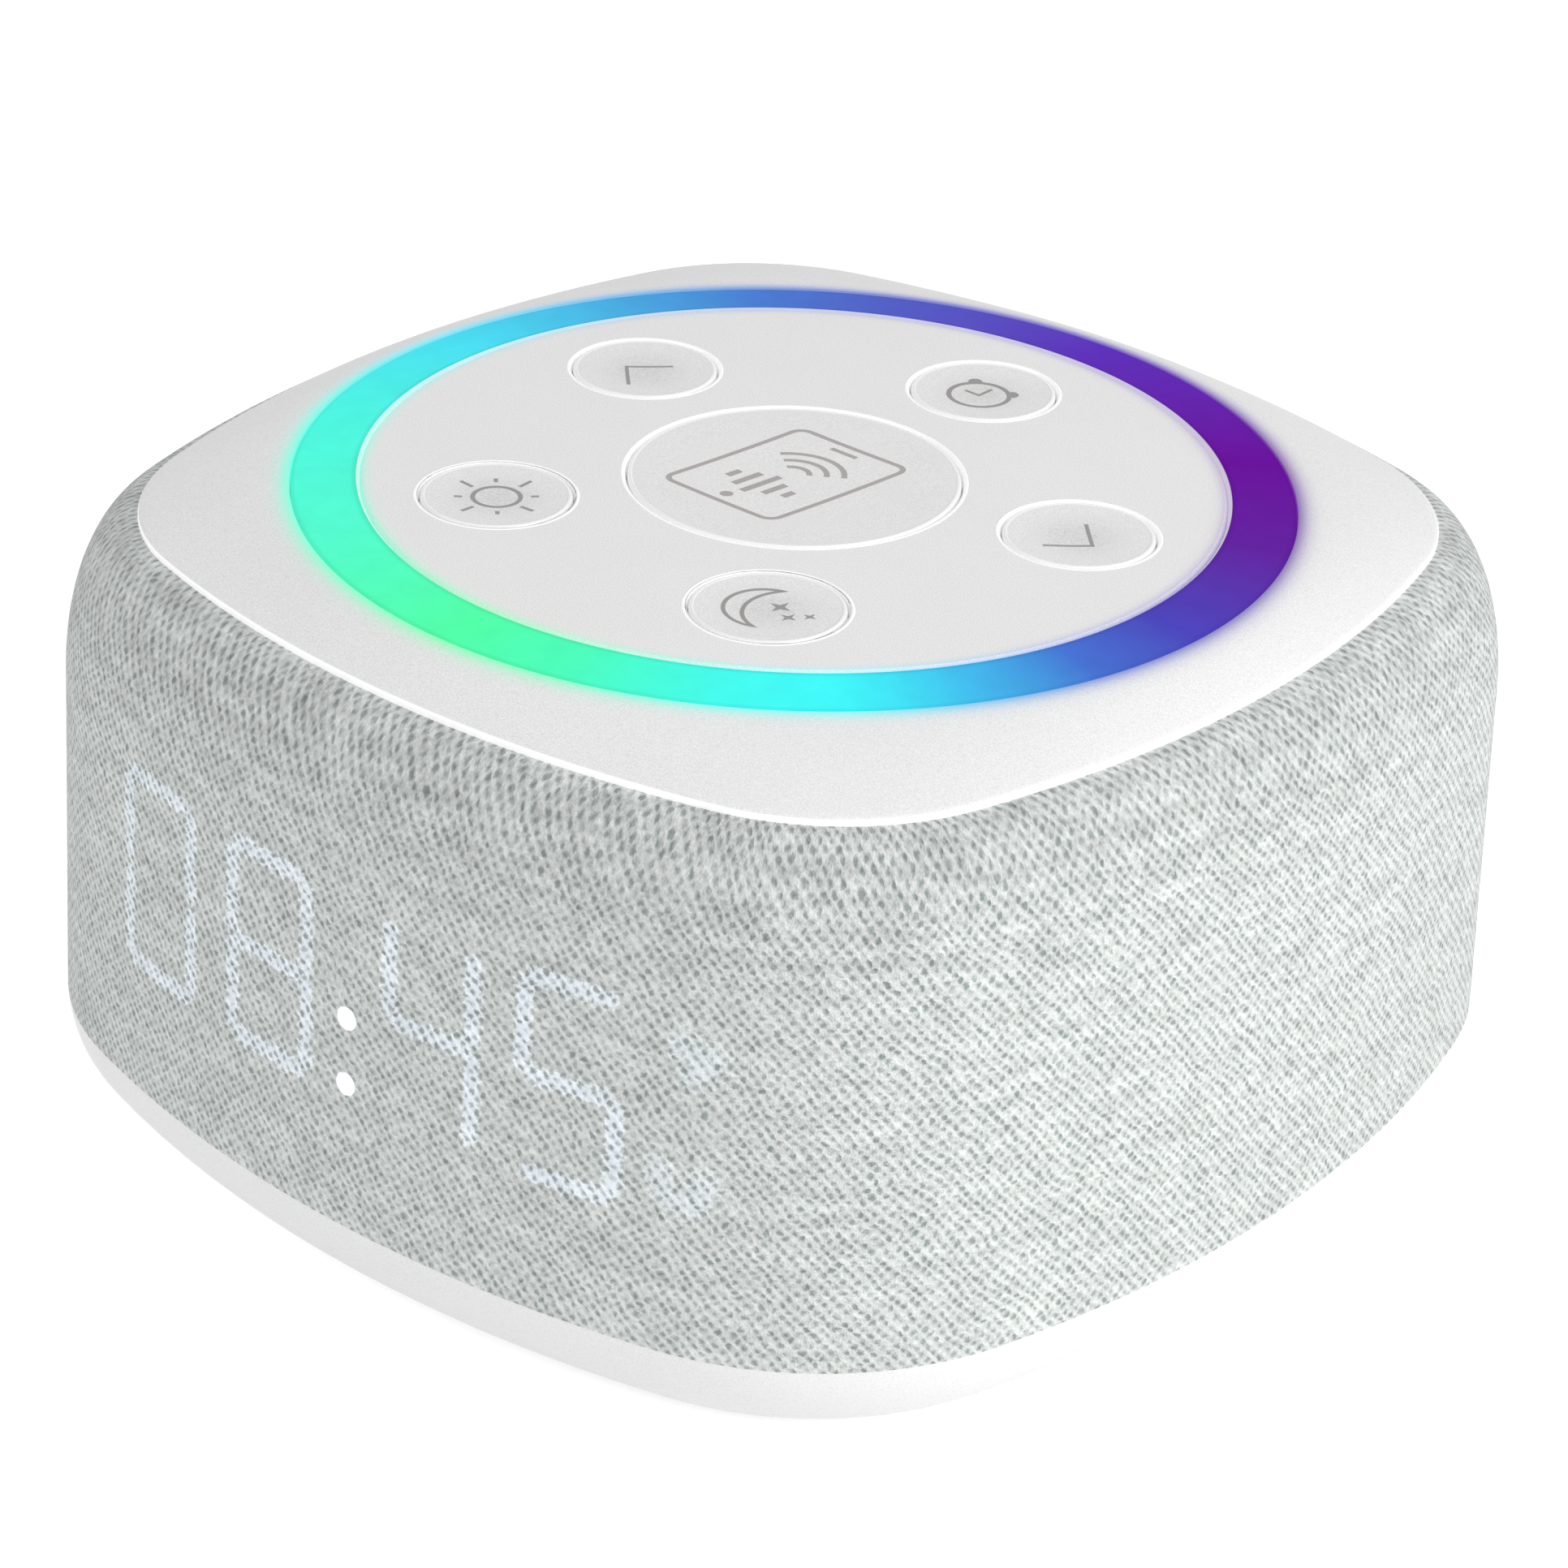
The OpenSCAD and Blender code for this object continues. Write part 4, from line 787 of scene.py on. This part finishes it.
def fabric_cover(material):
    """The knitted cover: a closed skin over the grille frame, fine outside and coarse inside."""
    centres, radii, angles, lengths, perimeter = outline_columns(COLUMN_W)
    outer = wall_path(0, OUTER_ROWS)
    inner = wall_path(FABRIC_T, INNER_ROWS)
    insets = np.concatenate([outer[0], inner[0][::-1]])
    heights = np.concatenate([outer[1], inner[1][::-1]])
    columns, rows = len(angles), len(insets)
    reach = (radii - insets[:, None])[..., None]
    flat = centres + reach * np.stack([np.cos(angles), np.sin(angles)], -1)
    points = np.concatenate([flat, np.broadcast_to(heights[:, None, None], (rows, columns, 1))], -1)
    points = points.reshape(-1, 3)
    faces = loop_faces(rows, columns)
    piece = mesh_piece("fabric_cover", points, faces, "root", material)

    # Cloth coordinates: a whole number of repeats round the outline, and the way up the wall
    steps = np.hypot(np.diff(insets), np.diff(heights))
    stretch = np.interp(heights[1:] / MM, *SHOULDER_STRETCH)
    climb = np.concatenate([[0], np.cumsum(steps * stretch)])
    repeats = round(perimeter / KNIT_W)
    across = lengths * repeats * KNIT_W / perimeter
    column = faces % columns
    u = across[column]
    u[(column == 0) & (column.max(1, keepdims=True) == columns - 1)] = repeats * KNIT_W
    v = climb[faces // columns]
    cloth = np.stack([u, v, np.zeros_like(u)], -1) / MM
    held = piece.data.attributes.new("cloth", "FLOAT_VECTOR", "CORNER")
    held.data.foreach_set("vector", cloth.astype(np.float32).ravel())
    for name, values in clock_distances(points).items():
        held = piece.data.attributes.new(name, "FLOAT", "POINT")
        held.data.foreach_set("value", values.astype(np.float32))
    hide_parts("fabric_wrap")


# ---------- deck ----------

def deck_cover(material):
    """The white deck: a dome from the light ring out to a thin upright edge above the fabric."""
    angles = np.radians(np.arange(0, 360, 0.75))
    edge_z = TOP_Z - DECK_DROP
    hole_bevel, edge_round = 0.12 * MM, 0.25 * MM
    carrier_r = DECK_HOLE_R + 1.4 * MM

    def level(value):
        return np.full_like(angles, value)

    def dome(share, inner_r, inset, high, low):
        """The dome's radii and heights at a share of the way from its hole to the outline."""
        radius = inner_r + (outline_r(inset, angles) - inner_r) * share
        return radius, level(high - (high - low) * share ** DOME_POWER)

    def top(share):
        return dome(share, DECK_HOLE_R, DECK_INSET, DECK_Z, edge_z)

    # Up the hole, round its bevel, over the dome and round its edge, then back underneath
    rings = [(level(DECK_HOLE_R), level(DECK_Z - DECK_T))]
    for turn in np.radians((0, 45, 90)):
        rings.append((level(DECK_HOLE_R + hole_bevel * (1 - math.cos(turn))),
                      level(DECK_Z - hole_bevel * (1 - math.sin(turn)))))
    rings += [top(share) for share in np.linspace(0.04, 0.95, 26)]
    edge = outline_r(DECK_INSET, angles)
    before_r, before_z = top(0.96)
    for t in np.linspace(0, 1, 7)[1:]:
        start, middle, end = (1 - t) ** 2, 2 * t * (1 - t), t ** 2
        rings.append((start * before_r + (middle + end) * edge,
                      start * before_z + middle * edge_z + end * (edge_z - edge_round)))
    rings.append((edge, level(FABRIC_TOP_Z)))
    rings += [dome(share, carrier_r, DECK_INSET + FLANGE_W, DECK_Z - DECK_T, FABRIC_TOP_Z)
              for share in (1, 0.7, 0.35, 0)]
    points = np.concatenate([np.stack([r * np.cos(angles), r * np.sin(angles), z], -1) for r, z in rings])
    faces = loop_faces(len(rings), len(angles))
    piece = mesh_piece("deck_cover", points, faces, "root", material, 50)
    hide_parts("deck_plate")


# ---------- button trims ----------

def lathe_ring(name, profile, centre, body, material):
    """A closed ring, by its profile's radii and its heights above the top, in millimetres."""
    angles = np.radians(np.arange(0, 360, 3))
    points = [(centre[0] + r * MM * math.cos(a), centre[1] + r * MM * math.sin(a), TOP_Z + z * MM)
              for r, z in profile for a in angles]
    piece = mesh_piece(name, points, loop_faces(len(profile), len(angles)), body, material, 60)


def button_trims(rim_material, lip_material):
    """Polished beads on the rim of each button and on the lip of its hole."""
    places = {name: (KEY_R, KEY_PITCH_R * unit(angle)) for name, angle in KEY_ANGLES.items()}
    places["mode"] = (MODE_R, np.zeros(2))
    for name, (radius, centre) in places.items():
        rim, lip = radius / MM, (radius + KEY_GAP) / MM
        rim_profile = [(rim + r, z) for r, z in (BEAD + RIM_SKIRT)[::-1]]
        lip_profile = [(lip - r, z) for r, z in BEAD + LIP_LEDGE]
        lathe_ring(name + "_rim", rim_profile, centre, name + "_key", rim_material)
        lathe_ring(name + "_lip", lip_profile, centre, "root", lip_material)


# ---------- icons ----------

class Print:
    """Thin printed marks on a button. Points are in millimetres from the button's centre."""

    def __init__(self, button_r, pitch_r=0.0, angle=0.0):
        self.centre = unit(angle) * pitch_r
        self.rim = button_r - KEY_BEVEL
        self.points, self.faces = [], []

    def lift(self, flat, above):
        """Points on the button's dished face, raised above it."""
        flat = np.asarray(flat) * MM
        height = TOP_Z - KEY_DISH * (1 - (flat ** 2).sum(1) / self.rim ** 2) + above
        return np.column_stack([flat + self.centre, height])

    def add(self, rows):
        """A closed strip whose four long edges are the given rows of points, capped at both ends."""
        start, count = len(self.points), len(rows[0])
        for row in rows:
            self.points += [tuple(p) for p in row]
        for side in range(4):
            for i in range(count - 1):
                a, b = start + side * count + i, start + (side + 1) % 4 * count + i
                self.faces.append((a, a + 1, b + 1, b))
        self.faces.append(tuple(start + side * count for side in range(4)))
        self.faces.append(tuple(start + (3 - side) * count + count - 1 for side in range(4)))

    def stroke(self, path, width, closed=False):
        """A stroke of the given width along the path, mitred at its corners."""
        path = [np.array(p, float) for p in path]
        if closed:
            path.append(path[0])
        fine = [path[0]]
        for a, b in zip(path, path[1:]):
            count = max(1, math.ceil(np.linalg.norm(b - a) / PRINT_STEP_MM))
            fine += [a + (b - a) * (i + 1) / count for i in range(count)]
        fine = np.array(fine)
        ahead = np.diff(fine, axis=0)
        ahead /= np.linalg.norm(ahead, axis=1)[:, None]
        after = np.vstack([ahead, ahead[:1] if closed else ahead[-1:]])
        before = np.vstack([ahead[-1:] if closed else ahead[:1], ahead])
        middle = after + before
        middle /= np.linalg.norm(middle, axis=1)[:, None]
        normal = np.column_stack([-middle[:, 1], middle[:, 0]])
        aside = np.column_stack([-after[:, 1], after[:, 0]])
        reach = width / 2 / np.maximum((normal * aside).sum(1), 0.4)[:, None]
        left, right = fine + normal * reach, fine - normal * reach
        self.add([self.lift(left, PRINT_TOP), self.lift(left, PRINT_BOTTOM),
                  self.lift(right, PRINT_BOTTOM), self.lift(right, PRINT_TOP)])

    def patch(self, rim):
        """A filled patch inside the rim, seen from its middle."""
        rim = np.array(rim, float)
        count, start = len(rim), len(self.points)
        middle = rim.mean(0)[None]
        for above in (PRINT_TOP, PRINT_BOTTOM):
            self.points += [tuple(p) for p in self.lift(np.vstack([rim, middle]), above)]
        for i in range(count):
            j = (i + 1) % count
            self.faces.append((start + count, start + i, start + j))
            self.faces.append((start + 2 * count + 1, start + count + 1 + j, start + count + 1 + i))
            self.faces.append((start + i, start + count + 1 + i, start + count + 1 + j, start + j))

    def piece(self, name, body, material):
        mesh_piece(name, self.points, self.faces, body, material)


def circle(radius, centre=(0, 0), start=0, end=360, count=48):
    """Points along a circle or an arc, by angles in degrees."""
    turns = np.radians(np.linspace(start, end, count, endpoint=end - start < 360))
    return [(centre[0] + radius * math.cos(t), centre[1] + radius * math.sin(t)) for t in turns]


def bow(a, b, rise):
    """Points along the arc from a to b that rises to the left of its chord."""
    a, b = np.array(a, float), np.array(b, float)
    half = np.linalg.norm(b - a) / 2
    radius = (half ** 2 + rise ** 2) / (2 * rise)
    along = (b - a) / (2 * half)
    left = np.array([-along[1], along[0]])
    centre = (a + b) / 2 + left * (rise - radius)
    sweep = math.asin(min(1.0, half / radius))
    if rise > half:
        sweep = math.pi - sweep
    return [centre + radius * (along * math.sin(t) + left * math.cos(t))
            for t in np.linspace(-sweep, sweep, 25)]


def star(size, centre):
    """Rim of a four-pointed star."""
    points = []
    for i in range(8):
        r = size / 2 * (1 if i % 2 == 0 else 0.34)
        points.append(centre + r * unit(45 * i + 90))
    return points


def rounded_rectangle(width, height, radius):
    points = []
    for turn, (x, y) in zip((0, 90, 180, 270), ((1, 1), (-1, 1), (-1, -1), (1, -1))):
        corner = (x * (width / 2 - radius), y * (height / 2 - radius))
        points += circle(radius, corner, turn, turn + 90, 9)
    return points


def small_print(name):
    return Print(KEY_R, KEY_PITCH_R, KEY_ANGLES[name])


def brightness_icon(material):
    mark = small_print("brightness")
    mark.stroke(circle(1.98), 0.39, closed=True)
    for turn in range(0, 360, 45):
        inner, outer = (2.75, 4.15) if turn % 90 == 0 else (2.85, 3.5)
        mark.stroke([unit(turn) * inner, unit(turn) * outer], 0.35)
    mark.piece("brightness_icon", "brightness_key", material)


def alarm_icon(material):
    mark = small_print("alarm")
    middle = np.array([0, -0.6])
    mark.stroke(circle(2.65, middle), 0.44, closed=True)
    for side in (45, 135):
        mark.patch(circle(0.65, middle + 2.85 * unit(side), side - 90, side + 90, 15))
    mark.stroke([middle + (-1.56, 0), middle, middle + (0, 1.8)], 0.33)
    mark.piece("alarm_icon", "alarm_key", material)


def chevron_icon(name, side, middle, material):
    mark = small_print(name)
    points = [(-side * 1.45, 2.9), (side * 1.45, 0), (-side * 1.45, -2.9)]
    mark.stroke([(middle[0] + x, middle[1] + y) for x, y in points], 0.33)
    mark.piece(name + "_icon", name + "_key", material)


def sleep_icon(material):
    mark = small_print("sleep")
    upper, lower = (-1.2, 3.2), (1.2, -3.2)
    outer = bow(lower, upper, 3.6)
    inner = bow(lower, upper, 1.95)
    mark.stroke(outer + inner[-2:0:-1], 0.35, closed=True)
    for size, centre in ((2.1, (0.4, 1.0)), (1.6, (2.1, 0.0)), (1.3, (3.3, 1.2))):
        mark.patch(star(size, centre))
    mark.piece("sleep_icon", "sleep_key", material)


def mode_icon(material):
    """A telephone with radio waves over the bars of a sound level, slanted as it is printed."""
    mark = Print(MODE_R)

    def slant(points):
        return [(x + 0.1 * (y + 7.8) - 1.7, y) for x, y in points]

    mark.stroke(slant(rounded_rectangle(11.9, 15.9, 1.1)), 0.5, closed=True)
    mark.stroke(slant([(-1.4, 6.7), (1.4, 6.7)]), 0.5)
    mark.patch(slant(circle(0.55, (-0.3, -6.5))))
    for radius in (1.5, 2.9, 4.3):
        mark.stroke(slant(circle(radius, (0.1, 0.4), 35, 145)), 0.5)
    for x, height in zip((-3, -1.5, 0, 1.5, 3), (1.5, 3.2, 4.4, 2.6, 1.3)):
        mark.stroke(slant([(x, -2.9 - height / 2), (x, -2.9 + height / 2)]), 0.7)
    mark.piece("mode_icon", "mode_key", material)


# ---------- stage and lights ----------

def seen_directly(tree):
    """1 on rays from the camera, a mirror or glass, and 0 on light that bounces softly."""
    path = tree.node("ShaderNodeLightPath").outputs
    kinds = (path[kind] for kind in ("Is Camera Ray", "Is Glossy Ray", "Is Transmission Ray"))
    return tree.chain("MAXIMUM", *kinds)


def make_floor():
    """White floor that keeps the object's soft shadow."""
    mesh = bpy.data.meshes.new("floor")
    corners = [(x * FLOOR_HALF, y * FLOOR_HALF, 0) for x, y in ((-1, -1), (1, -1), (1, 1), (-1, 1))]
    mesh.from_pydata(corners, [], [(0, 1, 2, 3)])
    floor = bpy.data.objects.new("floor", mesh)
    bpy.context.scene.collection.objects.link(floor)
    shader = Shader("floor_white")
    shader.set(
        Base_Color=srgb(*[FLOOR_LEVEL] * 3),
        Roughness=1.0,
        Specular_IOR_Level=0.0,
        Emission_Color=WHITE,
        Emission_Strength=shader.math("MULTIPLY", seen_directly(shader), FLOOR_GLOW),
    )
    mesh.materials.append(shader.material)


def make_world():
    """Soft light from all sides, which the camera and mirrors see as plain white."""
    world = bpy.data.worlds.new("studio")
    world.use_nodes = True
    bpy.context.scene.world = world
    tree = Nodes(world.node_tree)
    back = world.node_tree.nodes["Background"]
    tree.put(back.inputs["Color"], WHITE)
    tree.put(back.inputs["Strength"], tree.stretch(seen_directly(tree), 0, 1, AMBIENT, 1))


def lamp(name, azimuth, elevation, level, size, distance):
    """Soft square lamp. At level 1 it alone shows a facing surface in that surface's own colour."""
    back = direction(azimuth, elevation)
    data = bpy.data.lights.new(name, "AREA")
    data.size = size
    data.energy = math.pi ** 2 * distance ** 2 * level
    made = bpy.data.objects.new(name, data)
    made.matrix_world = (Matrix.Translation(back * distance + Vector((0, 0, TOP_Z / 2)))
                         @ back.to_track_quat("Z", "Y").to_matrix().to_4x4())
    bpy.context.scene.collection.objects.link(made)


# ---------- the scene ----------

place_camera()
materials = make_materials()
print_grey = icon_material("icon_print", (160, 157, 157))
pale_grey = icon_material("mode_print", (182, 176, 176))
fabric_cover(materials["knit_fabric"])
deck_cover(deck_white())
# The lips' white gives off a little light: a painted highlight along each button hole's lip.
button_trims(polished_white("polished_white"), polished_white("highlight_glow_white", glow=0.16))
brightness_icon(print_grey)
alarm_icon(print_grey)
chevron_icon("previous", -1, (-0.3, -0.5), print_grey)
chevron_icon("next", 1, (0.4, -0.6), print_grey)
sleep_icon(print_grey)
mode_icon(pale_grey)
make_floor()
make_world()
lamp("key_light", azimuth=94, elevation=30, level=0.62, size=0.5, distance=0.65)
lamp("fill_light", azimuth=-34, elevation=22, level=0.28, size=0.9, distance=0.9)
bpy.context.scene.view_settings.view_transform = "Standard"
